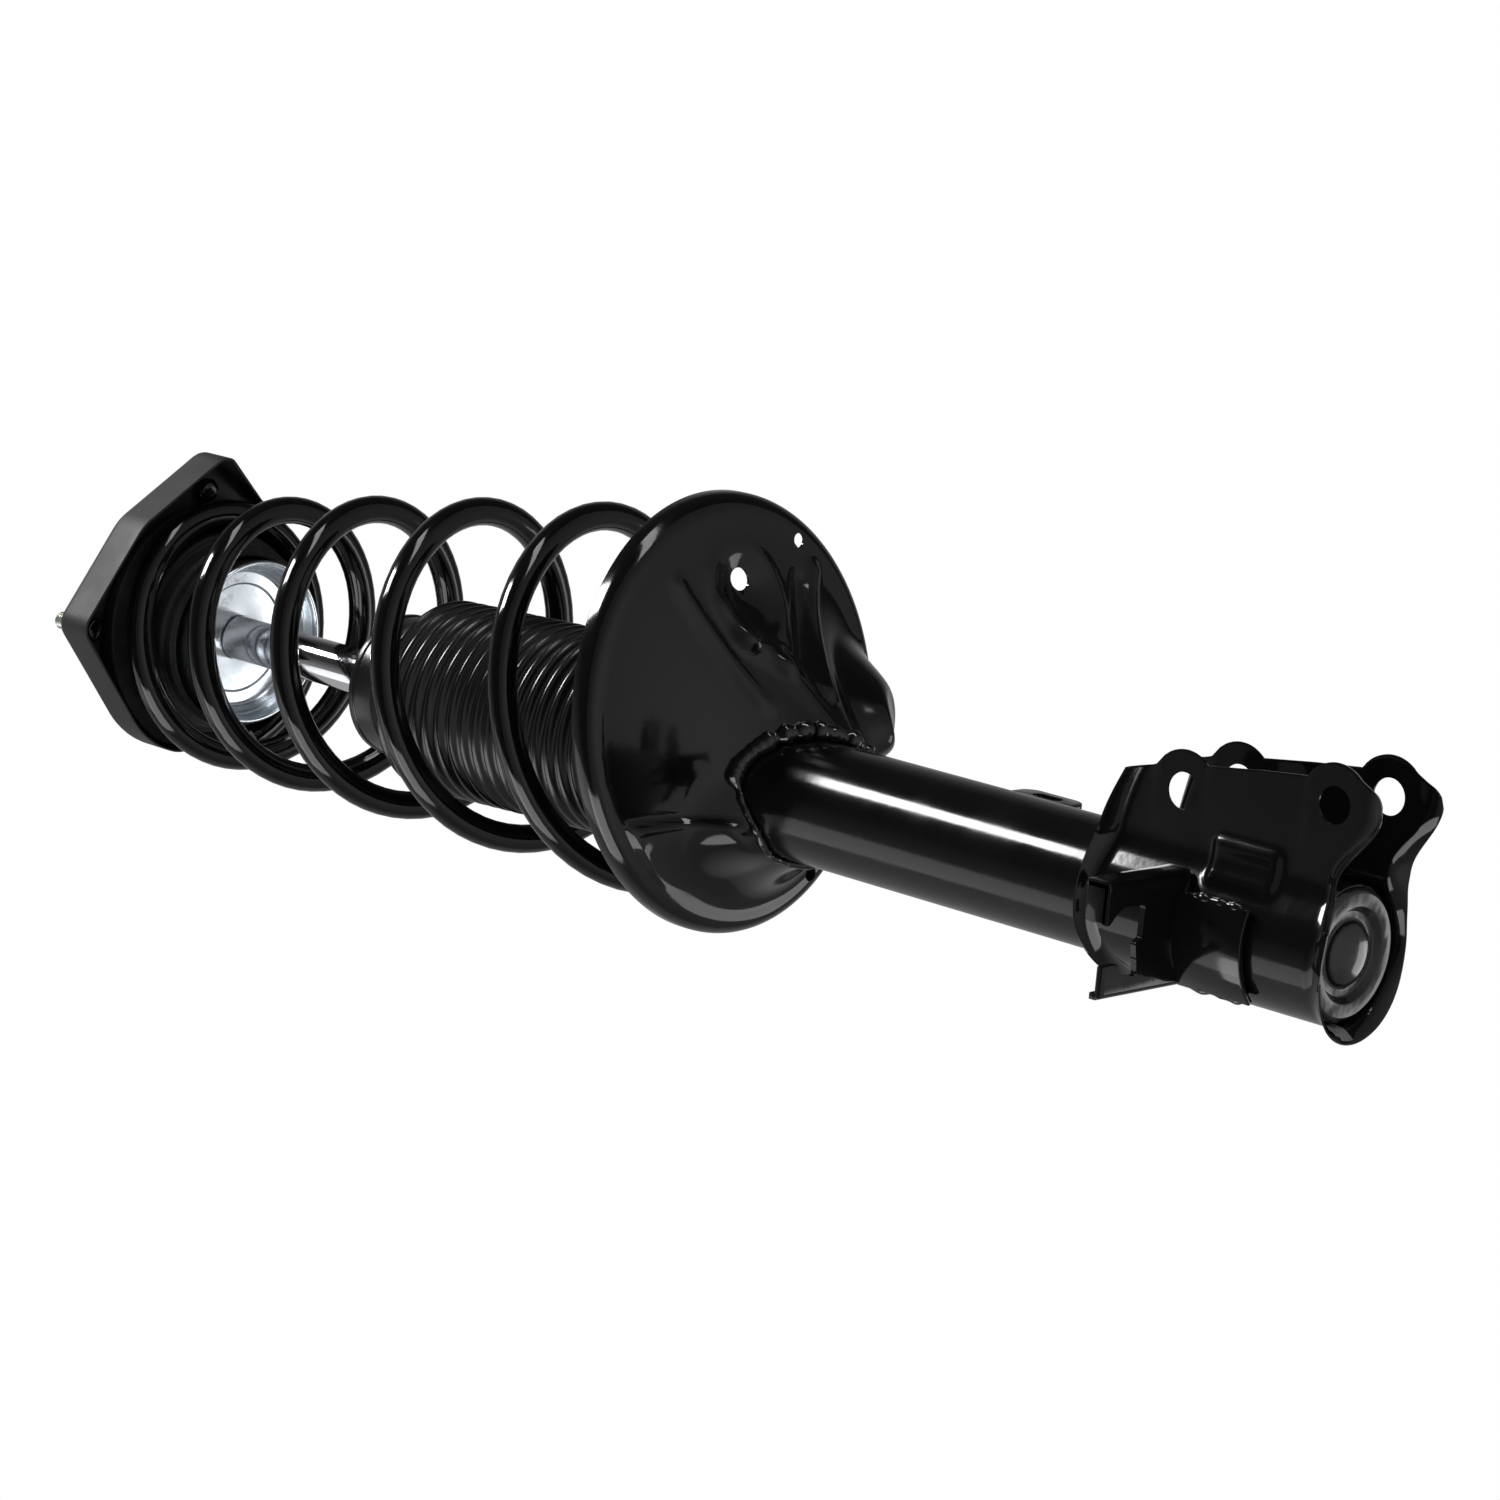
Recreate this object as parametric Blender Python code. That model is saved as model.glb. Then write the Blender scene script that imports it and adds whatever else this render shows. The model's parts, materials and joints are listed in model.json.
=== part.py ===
"""Suspension strut with a conical coil spring, in metres, as it hangs in a car: +Z is up.

The origin is on the strut's axis, in the top face of the mount plate. The knuckle bracket's ears
and the spring pan's offset point along +X, and the hose bracket is on the -Y side.
"""

import math

import bmesh
import bpy
from mathutils import Matrix, Vector

MM = 0.001
GAP = 0.3 * MM
RUNNING_GAP = 0.05 * MM
SEGMENTS = 30
TUBE_SEGMENTS = 48
HIDDEN_SEGMENTS = 20
SMOOTH_ANGLE = math.radians(35)

# Rod and tube
TUBE_RADIUS = 25.4 * MM
TUBE_WALL = 2.2 * MM
ROD_RADIUS = 10.0 * MM
ROD_NECK_RADIUS = 7.0 * MM
ROD_TOP_Z = 26.0 * MM
TUBE_TOP_Z = -180.0 * MM
TUBE_BOTTOM_Z = -656.0 * MM

# Mount plate: a tray with three corners
PLATE_SHEET = 2.5 * MM
PLATE_DEPTH = 21.0 * MM
PLATE_SYMMETRY_ANGLE = math.radians(-44.5)
CORNER_RADIUS = 84.0 * MM
CORNER_SPREAD = math.radians(40.6)
CORNER_FILLET = 9.0 * MM
FRONT_BULGE_RADIUS = 74.6 * MM
FRONT_BULGE_FILLET = 25.0 * MM
BACK_CORNER_RADIUS = 85.0 * MM
SIDE_RADIUS = 65.8 * MM
SIDE_SPREAD = math.radians(98.5)
SIDE_FILLET = 45.0 * MM
TRIM_DIRECTION = math.radians(100)
TRIM_START = -16.9 * MM
TRIM_END = 16.3 * MM
TRIM_DEPTH = 8.0 * MM
DOME_RADIUS = 34.0 * MM
DOME_HEIGHT = 9.0 * MM
DOME_OPENING_RADIUS = 21.0 * MM

# Mount studs
STUD_CIRCLE_RADIUS = 63.8 * MM
STUD_SPREAD = math.radians(42.5)
STUD_THREAD_RADIUS = 4.0 * MM
STUD_LENGTH = 20.0 * MM
STUD_HEAD_RADIUS = 5.6 * MM
STUD_HEAD_HEIGHT = 4.0 * MM

# Rubber mount, sleeve, washer and nut
SLEEVE_RADIUS = 11.0 * MM
SLEEVE_TOP_Z = 5.0 * MM
WASHER_RADIUS = 18.0 * MM
WASHER_SHEET = 2.5 * MM
NUT_ACROSS_FLATS = 22.0 * MM
NUT_HEIGHT = 10.0 * MM

# Bump cup
CUP_RADIUS = 37.5 * MM
CUP_STEP_RADIUS = 34.5 * MM
CUP_SHEET = 2.0 * MM
CUP_FLOOR_Z = -29.0 * MM
CUP_DEPTH = 13.0 * MM

# Bump stop, striker cap and dust boot
BUMP_RADIUS = 28.0 * MM
BUMP_TOP_Z = -132.0 * MM
STRIKER_SHEET = 1.6 * MM
STRIKER_SKIRT = 12.0 * MM
BOOT_NECK_TOP_Z = -141.0 * MM
BOOT_WALL = 2.4 * MM
BOOT_ROOM = 11.2 * MM
BOOT_RIB_DEPTH = 3.3 * MM
BOOT_RIB_COUNT = 21
BOOT_RIB_PITCH = 7.4 * MM
BOOT_SHOULDER_Z = -169.7 * MM
BOOT_LEAN = math.radians(2.2)
BOOT_LEAN_START_Z = -156.0 * MM

# Spring pan
PAN_OFFSET = 26.5 * MM
PAN_TILT = math.radians(9.0)
PAN_TWIST = math.radians(3.0)
PAN_FLOOR_Z = -346.5 * MM
PAN_RADIUS = 89.3 * MM
PAN_ROUNDING = 12.0 * MM
PAN_ROUNDING_STEPS = 4
PAN_SHEET = 2.8 * MM
PAN_COLLAR_Z = -388.0 * MM
PAN_COLLAR_SWING = 18.0 * MM
PAN_COLLAR_CURVE = 1.8
PAN_SIDES = 56
PAN_RINGS = 7

# Pressed features of the pan: places on its floor, widths, and depths outward
PAN_RIDGES = (
    # start, end, width, depth
    ((84 * MM, -37 * MM), (29 * MM, 13 * MM), 9 * MM, 4.5 * MM),
    ((80 * MM, 43 * MM), (30 * MM, 50 * MM), 9 * MM, 5.0 * MM),
    ((72 * MM, 34 * MM), (46 * MM, 34 * MM), 6 * MM, -2.5 * MM),
)
PAN_POCKET_CENTRE = (79 * MM, 1 * MM)
PAN_POCKET_RADIUS = 17 * MM
PAN_POCKET_DEPTH = 6 * MM
PAN_LOBE_CENTRE = (27 * MM, 60 * MM)
PAN_LOBE_RADIUS = 30 * MM
PAN_LOBE_DEPTH = 22 * MM
PAN_STEP_START = (-13 * MM, -62 * MM)
PAN_STEP_END = (-15 * MM, -16 * MM)
PAN_STEP_WIDTH = 15 * MM
PAN_STEP_DEPTH = 5 * MM
PAN_HOLES = (
    # centre, radius
    ((82 * MM, 0 * MM), 4.6 * MM),
    ((95 * MM, 39 * MM), 3.0 * MM),
    ((15 * MM, 68 * MM), 3.5 * MM),
    ((-42 * MM, 41 * MM), 3.5 * MM),
)

# Coil spring
WIRE_RADIUS = 6.15 * MM
SPRING_TOP_RADIUS = 53.9 * MM
SPRING_GROWTH = 4.03 * MM
SPRING_GROWTH_RISE = 0.13 * MM
SPRING_TOP_OFFSET = 0.8 * MM
SPRING_MIDDLE_SHIFT = 2.1 * MM
SPRING_SEAT_Z = -16.9 * MM
SPRING_TOP_TILT = math.radians(5.0)
SPRING_PITCH = (36.4 * MM, 17.15 * MM, -1.755 * MM)
SPRING_FIRST_TURN = -0.45
SPRING_LIFT_TURNS = (-0.12, 0.12)
SPRING_LAND_TURNS = (4.66, 5.26)
SPRING_LAST_TURN = 5.72
SPRING_TILT_POWER = 6
SPRING_POINTS_PER_TURN = 24

# Upper spring pad
PAD_STEP_DROP = 8.0 * MM
PAD_STEP_IN = 3.0 * MM

# Inside the tube
PRESSURE_TUBE_RADIUS = 17.0 * MM
PRESSURE_TUBE_WALL = 1.5 * MM
GUIDE_HEIGHT = 18.0 * MM
SEAL_HEIGHT = 6.0 * MM
BUSH_WALL = 1.5 * MM
REBOUND_STOP_HEIGHT = 8.0 * MM
PISTON_TOP_Z = -236.0 * MM
PISTON_HEIGHT = 22.0 * MM
PISTON_NECK_RADIUS = 6.0 * MM
VALVE_DISC_HEIGHT = 1.2 * MM
PISTON_NUT_HEIGHT = 9.0 * MM
PISTON_NUT_FLATS = 19.0 * MM
BASE_VALVE_HEIGHT = 20.0 * MM

# Bottom cap
CAP_SHEET = 3.0 * MM
CAP_PLUG_DEPTH = 6.0 * MM
CAP_RING_RADIUS = 17.0 * MM
CAP_RING_DEPTH = 2.5 * MM
CAP_DOME_RADIUS = 12.0 * MM
CAP_DOME_HEIGHT = 4.5 * MM

# Knuckle bracket, a sheet wrapped round the tube with two ears
BRACKET_SHEET = 3.2 * MM
BRACKET_TOP_Z = -554.0 * MM
BRACKET_TOP_FALL = 9.0 * MM
BRACKET_TOP_BACK_FALL = 7.0 * MM
BRACKET_BOTTOM_Z = -664.5 * MM
BRACKET_BOTTOM_FALL = 13.5 * MM
EAR_GAP = 30.0 * MM
EAR_REACH = 76.0 * MM
EAR_FOOT_RUN = 8.3 * MM
WRAP_START_ANGLE = math.radians(62)
FLARE_WIDTH = 8.0 * MM
FLARE_HEIGHT_TOP = 4.5 * MM
FLARE_HEIGHT_BOTTOM = 2.2 * MM
FLARE_BEND_EXTRA = 4.0 * MM
FLARE_BACK_EXTRA = 2.5 * MM
BOLT_HOLE_RADIUS = 7.0 * MM
LOBE_RADIUS = 15.5 * MM
UPPER_BOLT = (47.9 * MM, -587.6 * MM)
LOWER_BOLT = (57.0 * MM, -655.8 * MM)
EAR_TOP_CORNER = (50.5 * MM, -560.0 * MM)
CORNER_ROUNDING = 2.0 * MM
EAR_WEB_PLACE = (62.7 * MM, -621.0 * MM)
EAR_FOOT_CENTRE = (57.0 * MM, -669.5 * MM)
EAR_FOOT_RADIUS = 8.5 * MM
EMBOSS_Z = (-604.5 * MM, -637.0 * MM)
EMBOSS_X = (18.0 * MM, 40.0 * MM)
EMBOSS_HEIGHT = 2.6 * MM
EMBOSS_SIDE = 3.0 * MM

# Hose bracket on the near side of the knuckle bracket
HOSE_SHEET = 2.5 * MM
HOSE_STRAP_Z = (-598.0 * MM, -632.0 * MM)
HOSE_STRAP_ANGLES = (math.radians(-64), math.radians(-137))
HOSE_ARM_REACH = 70.0 * MM
HOSE_ARM_X = (-21.5 * MM, 20.0 * MM)
HOSE_FLANGE_DEPTH = 8.0 * MM
HOSE_LIP_DEPTH = 3.0 * MM
HOSE_SLOT_X = (-10.0 * MM, 11.5 * MM)
HOSE_SLOT_Y = (-66.0 * MM, -49.0 * MM)
HOSE_HOOK_X = 5.4 * MM
HOSE_NOTCH_X = (-15.6 * MM, -9.0 * MM)
HOSE_NOTCH_Y = (-61.0 * MM, -50.0 * MM)

# Line tab on the far side of the tube
TAB_SHEET = 2.5 * MM
TAB_Z = (-474.0 * MM, -505.0 * MM)
TAB_X = 18.0 * MM
TAB_STAND = 7.6 * MM
TAB_CORNER = 8.0 * MM
TAB_SLOT_WIDTH = 6.0 * MM
TAB_SLOT_LENGTH = 14.0 * MM


def clear_scene():
    for old in list(bpy.data.objects):
        bpy.data.objects.remove(old, do_unlink=True)


def material(name, colour, roughness, metallic=0.0):
    made = bpy.data.materials.get(name) or bpy.data.materials.new(name)
    made.use_nodes = True
    shader = made.node_tree.nodes["Principled BSDF"]
    shader.inputs["Base Color"].default_value = (*colour, 1.0)
    shader.inputs["Roughness"].default_value = roughness
    shader.inputs["Metallic"].default_value = metallic
    made.diffuse_color = (*colour, 1.0)
    return made


def gloss_black():
    return material("black_coat", (0.012, 0.012, 0.013), 0.16)


def satin_black():
    return material("satin_coat", (0.045, 0.045, 0.046), 0.42)


def black_rubber():
    return material("black_rubber", (0.018, 0.018, 0.018), 0.62)


def zinc():
    return material("zinc_plate", (0.72, 0.76, 0.78), 0.24, 1.0)


def chrome():
    return material("hard_chrome", (0.8, 0.81, 0.83), 0.08, 1.0)


def bare_steel():
    return material("bare_steel", (0.5, 0.5, 0.51), 0.35, 1.0)


def sintered_iron():
    return material("sintered_iron", (0.28, 0.28, 0.29), 0.55, 1.0)


def plastic_band():
    return material("piston_band", (0.25, 0.17, 0.1), 0.5)


def finish(mesh_data):
    """Faces smooth, edges sharper than the smooth angle sharp, normals outward."""
    bmesh.ops.recalc_face_normals(mesh_data, faces=mesh_data.faces)
    for face in mesh_data.faces:
        face.smooth = True
    for edge in mesh_data.edges:
        if len(edge.link_faces) == 2 and edge.calc_face_angle(0.0) > SMOOTH_ANGLE:
            edge.smooth = False


def add_object(name, mesh_data, skin):
    finish(mesh_data)
    mesh = bpy.data.meshes.new(name)
    mesh_data.to_mesh(mesh)
    mesh_data.free()
    made = bpy.data.objects.new(name, mesh)
    bpy.context.collection.objects.link(made)
    if skin:
        made.data.materials.append(skin)
    return made


def helper(name, mesh_data):
    """A cutter or a joining shape: it shows as wire and isn't rendered."""
    made = add_object(name, mesh_data, None)
    made.hide_render = True
    made.display_type = "WIRE"
    return made


def combine(target, other, operation="DIFFERENCE"):
    step = target.modifiers.new(other.name, "BOOLEAN")
    step.operation = operation
    step.object = other
    return target


def revolved(profile, segments=SEGMENTS, ring=True):
    """A profile of (radius, height) points turned about Z. A ring's profile is closed."""
    made = bmesh.new()
    points = [made.verts.new((radius, 0.0, height)) for radius, height in profile]
    edges = [made.edges.new(pair) for pair in zip(points, points[1:])]
    if ring:
        edges.append(made.edges.new((points[-1], points[0])))
    bmesh.ops.spin(
        made,
        geom=points + edges,
        cent=(0, 0, 0),
        axis=(0, 0, 1),
        angle=math.tau,
        steps=segments,
        use_merge=True,
    )
    bmesh.ops.remove_doubles(made, verts=made.verts, dist=1e-6)
    return made


def thickened(path, sheet):
    """The closed profile of a sheet that lies to the left of an open path."""
    offset = []
    for index, point in enumerate(path):
        here = Vector(point)
        before = Vector(path[max(index - 1, 0)])
        after = Vector(path[min(index + 1, len(path) - 1)])
        into = (here - before).normalized() if index else (after - here).normalized()
        out = (after - here).normalized() if index < len(path) - 1 else into
        mean = (into + out).normalized()
        share = max(mean.dot(into), 0.4)
        offset.append(here + Vector((-mean.y, mean.x)) * sheet / share)
    return [tuple(point) for point in path] + [tuple(point) for point in reversed(offset)]


def prism(outline, bottom, top, along="Z"):
    """An outline pulled between two heights, along Z, or along Y for an outline in X and Z."""
    made = bmesh.new()
    if along == "Z":
        points = [made.verts.new((x, y, bottom)) for x, y in outline]
        pull = Vector((0, 0, top - bottom))
    else:
        points = [made.verts.new((x, bottom, z)) for x, z in outline]
        pull = Vector((0, top - bottom, 0))
    face = made.faces.new(points)
    pulled = bmesh.ops.extrude_face_region(made, geom=[face])
    moved = [item for item in pulled["geom"] if isinstance(item, bmesh.types.BMVert)]
    bmesh.ops.translate(made, verts=moved, vec=pull)
    return made


def box(low, high):
    outline = [(low[0], low[1]), (high[0], low[1]), (high[0], high[1]), (low[0], high[1])]
    return prism(outline, low[2], high[2])


def rod_shape(radius, bottom, top, centre=(0.0, 0.0), sides=24):
    outline = [
        (
            centre[0] + radius * math.cos(math.tau * step / sides),
            centre[1] + radius * math.sin(math.tau * step / sides),
        )
        for step in range(sides)
    ]
    return outline, bottom, top


def drill(target, name, radius, bottom, top, centre, along="Z", sides=24):
    outline, low, high = rod_shape(radius, bottom, top, centre, sides)
    return combine(target, helper(name, prism(outline, low, high, along)))


def polar(radius, angle):
    return (radius * math.cos(angle), radius * math.sin(angle))


def smooth_step(share):
    share = min(max(share, 0.0), 1.0)
    return share * share * (3.0 - 2.0 * share)


def inset(corners, distance):
    """A convex outline's corners, moved inward so that each side moves by the distance."""
    moved = []
    count = len(corners)
    for index in range(count):
        here = Vector(corners[index])
        into = (here - Vector(corners[index - 1])).normalized()
        out = (Vector(corners[(index + 1) % count]) - here).normalized()
        mean = (into + out).normalized()
        moved.append(tuple(here + Vector((-mean.y, mean.x)) * distance / mean.dot(into)))
    return moved


def filleted(corners, fillets, steps=5):
    """An outline with an arc at each corner."""
    outline = []
    count = len(corners)
    for index in range(count):
        here = Vector(corners[index])
        into = (here - Vector(corners[index - 1])).normalized()
        out = (Vector(corners[(index + 1) % count]) - here).normalized()
        turn = math.atan2(into.x * out.y - into.y * out.x, into.dot(out))
        start = here - into * fillets[index] * math.tan(turn / 2)
        centre = start + Vector((-into.y, into.x)) * fillets[index]
        spoke = start - centre
        for step in range(steps + 1):
            angle = turn * step / steps
            turned = Vector(
                (
                    spoke.x * math.cos(angle) - spoke.y * math.sin(angle),
                    spoke.x * math.sin(angle) + spoke.y * math.cos(angle),
                )
            )
            outline.append(tuple(centre + turned))
    return outline


# Upper group


def stud_places():
    angles = (STUD_SPREAD, -STUD_SPREAD, math.pi)
    return [polar(STUD_CIRCLE_RADIUS, PLATE_SYMMETRY_ANGLE + angle) for angle in angles]


def plate_outline():
    """Corners of the plate before rounding, and the rounding of each."""
    spots = (
        (SIDE_RADIUS, -SIDE_SPREAD, SIDE_FILLET),
        (CORNER_RADIUS, -CORNER_SPREAD, CORNER_FILLET),
        (FRONT_BULGE_RADIUS, 0.0, FRONT_BULGE_FILLET),
        (CORNER_RADIUS, CORNER_SPREAD, CORNER_FILLET),
        (SIDE_RADIUS, SIDE_SPREAD, SIDE_FILLET),
        (BACK_CORNER_RADIUS, math.pi, CORNER_FILLET),
    )
    corners = [polar(radius, PLATE_SYMMETRY_ANGLE + angle) for radius, angle, _ in spots]
    return corners, [fillet for _, _, fillet in spots]


def hollow_outline():
    """The inside of the tray's wall."""
    corners, fillets = plate_outline()
    return filleted(inset(corners, PLATE_SHEET), [fillet - PLATE_SHEET for fillet in fillets])


def tray_reach(angle):
    """How far from the axis the inside of the tray's wall is in a direction."""
    outline = hollow_outline()
    ahead = Vector(polar(1.0, angle))
    reach = math.inf
    for before, after in zip(outline[-1:] + outline[:-1], outline):
        along = (Vector(after) - Vector(before)).normalized()
        outward = Vector((along.y, -along.x))
        facing = outward.dot(ahead)
        if facing > 0.0:
            reach = min(reach, outward.dot(Vector(before)) / facing)
    return reach


def plate_trim():
    """What is cut from the lower edge of the wall, which is shallower on one side."""
    far = 2 * BACK_CORNER_RADIUS
    outline = [
        (TRIM_START, -PLATE_DEPTH),
        (TRIM_END, -TRIM_DEPTH),
        (far, -TRIM_DEPTH),
        (far, -2 * PLATE_DEPTH),
        (TRIM_START, -2 * PLATE_DEPTH),
    ]
    trim = prism(outline, -far, far, "Y")
    turn = Matrix.Rotation(TRIM_DIRECTION, 3, "Z")
    bmesh.ops.rotate(trim, verts=trim.verts, matrix=turn)
    return trim


def mount_plate():
    corners, fillets = plate_outline()
    tray = prism(filleted(corners, fillets), -PLATE_DEPTH, 0.0)
    top_edges = [
        edge for edge in tray.edges if all(abs(end.co.z) < GAP for end in edge.verts)
    ]
    bmesh.ops.bevel(
        tray, geom=top_edges, offset=PLATE_SHEET, segments=3, profile=0.5, affect="EDGES"
    )
    plate = add_object("mount_plate", tray, satin_black())
    hollow = prism(hollow_outline(), -PLATE_DEPTH - PLATE_SHEET, -PLATE_SHEET)
    combine(plate, helper("tray_hollow", hollow))
    combine(plate, helper("tray_trim", plate_trim()))
    dome_edge = DOME_RADIUS + DOME_HEIGHT / 2
    dome = [
        (DOME_RADIUS - PLATE_SHEET, -PLATE_SHEET / 2),
        (dome_edge, -PLATE_SHEET / 2),
        (DOME_RADIUS, DOME_HEIGHT - PLATE_SHEET),
        (DOME_RADIUS - PLATE_SHEET, DOME_HEIGHT),
        (DOME_OPENING_RADIUS, DOME_HEIGHT),
    ]
    combine(plate, helper("dome_skin", revolved(solid_below(dome))), "UNION")
    inside = [
        (0.0, -2 * PLATE_SHEET),
        (dome_edge - PLATE_SHEET, -2 * PLATE_SHEET),
        (DOME_RADIUS - PLATE_SHEET, DOME_HEIGHT - PLATE_SHEET),
        (DOME_OPENING_RADIUS, DOME_HEIGHT - PLATE_SHEET),
        (DOME_OPENING_RADIUS, DOME_HEIGHT + PLATE_SHEET),
        (0.0, DOME_HEIGHT + PLATE_SHEET),
    ]
    combine(plate, helper("dome_hollow", revolved(inside, ring=False)))
    for number, place in enumerate(stud_places(), 1):
        radius = STUD_THREAD_RADIUS + GAP
        drill(plate, f"stud_hole_{number}", radius, -2 * PLATE_SHEET, PLATE_SHEET, place)
    return plate


def solid_below(path):
    """A ring's closed profile: the path and the level of its first point."""
    return path + [(path[-1][0], path[0][1])]


def mount_studs():
    for number, place in enumerate(stud_places(), 1):
        head_top = -PLATE_SHEET - GAP
        chamfer = STUD_THREAD_RADIUS / 4
        profile = [
            (0.0, head_top - STUD_HEAD_HEIGHT),
            (STUD_HEAD_RADIUS - chamfer, head_top - STUD_HEAD_HEIGHT),
            (STUD_HEAD_RADIUS, head_top - STUD_HEAD_HEIGHT + chamfer),
            (STUD_HEAD_RADIUS, head_top),
            (STUD_THREAD_RADIUS, head_top),
            (STUD_THREAD_RADIUS, STUD_LENGTH - chamfer),
            (STUD_THREAD_RADIUS - chamfer, STUD_LENGTH),
            (0.0, STUD_LENGTH),
        ]
        stud = add_object(
            f"mount_stud_{number}", revolved(profile, HIDDEN_SEGMENTS, False), zinc()
        )
        stud.location = (*place, 0.0)


def mount_rubber():
    bore = SLEEVE_RADIUS + GAP
    bottom = CUP_FLOOR_Z + CUP_SHEET + GAP
    dome_inside = DOME_RADIUS - PLATE_SHEET
    profile = [
        (bore, bottom),
        (CUP_RADIUS - 4 * CUP_SHEET, bottom),
        (CUP_RADIUS - CUP_SHEET, bottom + CUP_SHEET),
        (CUP_RADIUS - CUP_SHEET, -2 * PLATE_SHEET),
        (dome_inside - GAP, -PLATE_SHEET),
        (dome_inside - GAP, DOME_HEIGHT / 2),
        (DOME_OPENING_RADIUS + PLATE_SHEET, DOME_HEIGHT - PLATE_SHEET - GAP),
        (DOME_OPENING_RADIUS - PLATE_SHEET, DOME_HEIGHT - PLATE_SHEET - GAP),
        (bore, SLEEVE_TOP_Z - GAP),
    ]
    add_object("mount_rubber", revolved(profile, HIDDEN_SEGMENTS), black_rubber())


def inner_sleeve():
    bore = ROD_NECK_RADIUS + GAP
    bottom = CUP_FLOOR_Z + CUP_SHEET + GAP
    profile = [
        (bore, bottom),
        (SLEEVE_RADIUS, bottom),
        (SLEEVE_RADIUS, SLEEVE_TOP_Z),
        (bore, SLEEVE_TOP_Z),
    ]
    add_object("mount_inner_sleeve", revolved(profile, HIDDEN_SEGMENTS), bare_steel())


def top_washer():
    bottom = SLEEVE_TOP_Z + GAP
    flat = SLEEVE_RADIUS + WASHER_SHEET
    path = [
        (ROD_NECK_RADIUS + GAP, bottom),
        (flat, bottom),
        (WASHER_RADIUS, bottom + WASHER_SHEET),
    ]
    add_object("top_washer", revolved(thickened(path, WASHER_SHEET)), zinc())


def hex_nut(name, across_flats, bore, bottom, top, skin):
    radius = across_flats / 2 / math.cos(math.pi / 6)
    outline, low, high = rod_shape(radius, bottom, top, sides=6)
    nut = add_object(name, prism(outline, low, high), skin)
    drill(nut, f"{name}_bore", bore, low - MM, high + MM, (0.0, 0.0), sides=HIDDEN_SEGMENTS)


def rod_nut():
    bottom = SLEEVE_TOP_Z + WASHER_SHEET + 2 * GAP
    bore = ROD_NECK_RADIUS + GAP
    hex_nut("rod_nut", NUT_ACROSS_FLATS, bore, bottom, bottom + NUT_HEIGHT, zinc())


def seat_plane(x):
    """Height of the wire's centre where the first coil lies on the pad."""
    return SPRING_SEAT_Z + math.tan(SPRING_TOP_TILT) * (x - SPRING_TOP_OFFSET)


def upper_spring_pad():
    hub = SPRING_TOP_RADIUS - WIRE_RADIUS - SPRING_TOP_OFFSET - 2 * GAP
    bore = CUP_RADIUS + 2 * GAP
    flange = STUD_CIRCLE_RADIUS - STUD_HEAD_RADIUS - GAP
    top = -PLATE_SHEET - GAP
    seat = SPRING_SEAT_Z + WIRE_RADIUS + GAP
    last = CUP_FLOOR_Z - PAD_STEP_IN
    first = seat - PAD_STEP_DROP
    step = hub - PAD_STEP_IN
    profile = [
        (bore, top),
        (flange, top),
        (flange, seat),
        (hub, seat),
        (hub, first),
        (step, first - PAD_STEP_IN / 2),
        (step, (first + last) / 2 - PAD_STEP_IN / 2),
        ((step + bore) / 2 + MM, (first + last) / 2 - PAD_STEP_IN),
        ((step + bore) / 2 + MM, last),
        (bore, last),
    ]
    pad = revolved(profile)
    for point in pad.verts:
        limit = tray_reach(math.atan2(point.co.y, point.co.x)) - GAP
        point.co.xy *= min(1.0, limit / point.co.xy.length)
        if abs(point.co.z - seat) < GAP / 2:
            point.co.z = seat_plane(point.co.x) + WIRE_RADIUS + GAP
    add_object("upper_spring_pad", pad, black_rubber())


def bump_cup():
    rim = CUP_FLOOR_Z - CUP_DEPTH
    lip = CUP_RADIUS - CUP_STEP_RADIUS
    path = [
        (ROD_NECK_RADIUS + GAP, CUP_FLOOR_Z),
        (CUP_STEP_RADIUS - 3 * lip, CUP_FLOOR_Z),
        (CUP_STEP_RADIUS - lip, CUP_FLOOR_Z - lip / 3),
        (CUP_STEP_RADIUS - lip / 3, CUP_FLOOR_Z - lip),
        (CUP_STEP_RADIUS, rim + lip / 2),
        (CUP_STEP_RADIUS + lip / 3, rim),
        (CUP_RADIUS, rim),
        (CUP_RADIUS, rim + lip),
    ]
    inner = [
        (CUP_RADIUS - lip / 3, rim + lip),
        (CUP_RADIUS - lip / 2, rim + CUP_SHEET),
        (CUP_STEP_RADIUS + CUP_SHEET * 0.8, rim + CUP_SHEET),
        (CUP_STEP_RADIUS + CUP_SHEET * 0.6, CUP_FLOOR_Z - lip),
        (CUP_STEP_RADIUS - lip / 3, CUP_FLOOR_Z + CUP_SHEET * 0.6),
        (CUP_STEP_RADIUS - lip, CUP_FLOOR_Z + CUP_SHEET),
        (ROD_NECK_RADIUS + GAP, CUP_FLOOR_Z + CUP_SHEET),
    ]
    add_object("bump_cup", revolved(path + inner), zinc())


def piston_rod():
    shoulder = CUP_FLOOR_Z - GAP
    neck_top = PISTON_TOP_Z + VALVE_DISC_HEIGHT + 2 * GAP
    end = PISTON_TOP_Z - PISTON_HEIGHT - PISTON_NUT_HEIGHT - 3 * VALVE_DISC_HEIGHT
    profile = [
        (0.0, ROD_TOP_Z),
        (ROD_NECK_RADIUS - MM, ROD_TOP_Z),
        (ROD_NECK_RADIUS, ROD_TOP_Z - MM),
        (ROD_NECK_RADIUS, shoulder + MM),
        (ROD_NECK_RADIUS, shoulder),
        (ROD_RADIUS - MM, shoulder),
        (ROD_RADIUS, shoulder - MM),
        (ROD_RADIUS, neck_top),
        (PISTON_NECK_RADIUS, neck_top),
        (PISTON_NECK_RADIUS, end),
        (0.0, end),
    ]
    add_object("piston_rod", revolved(profile, HIDDEN_SEGMENTS, False), chrome())


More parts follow.
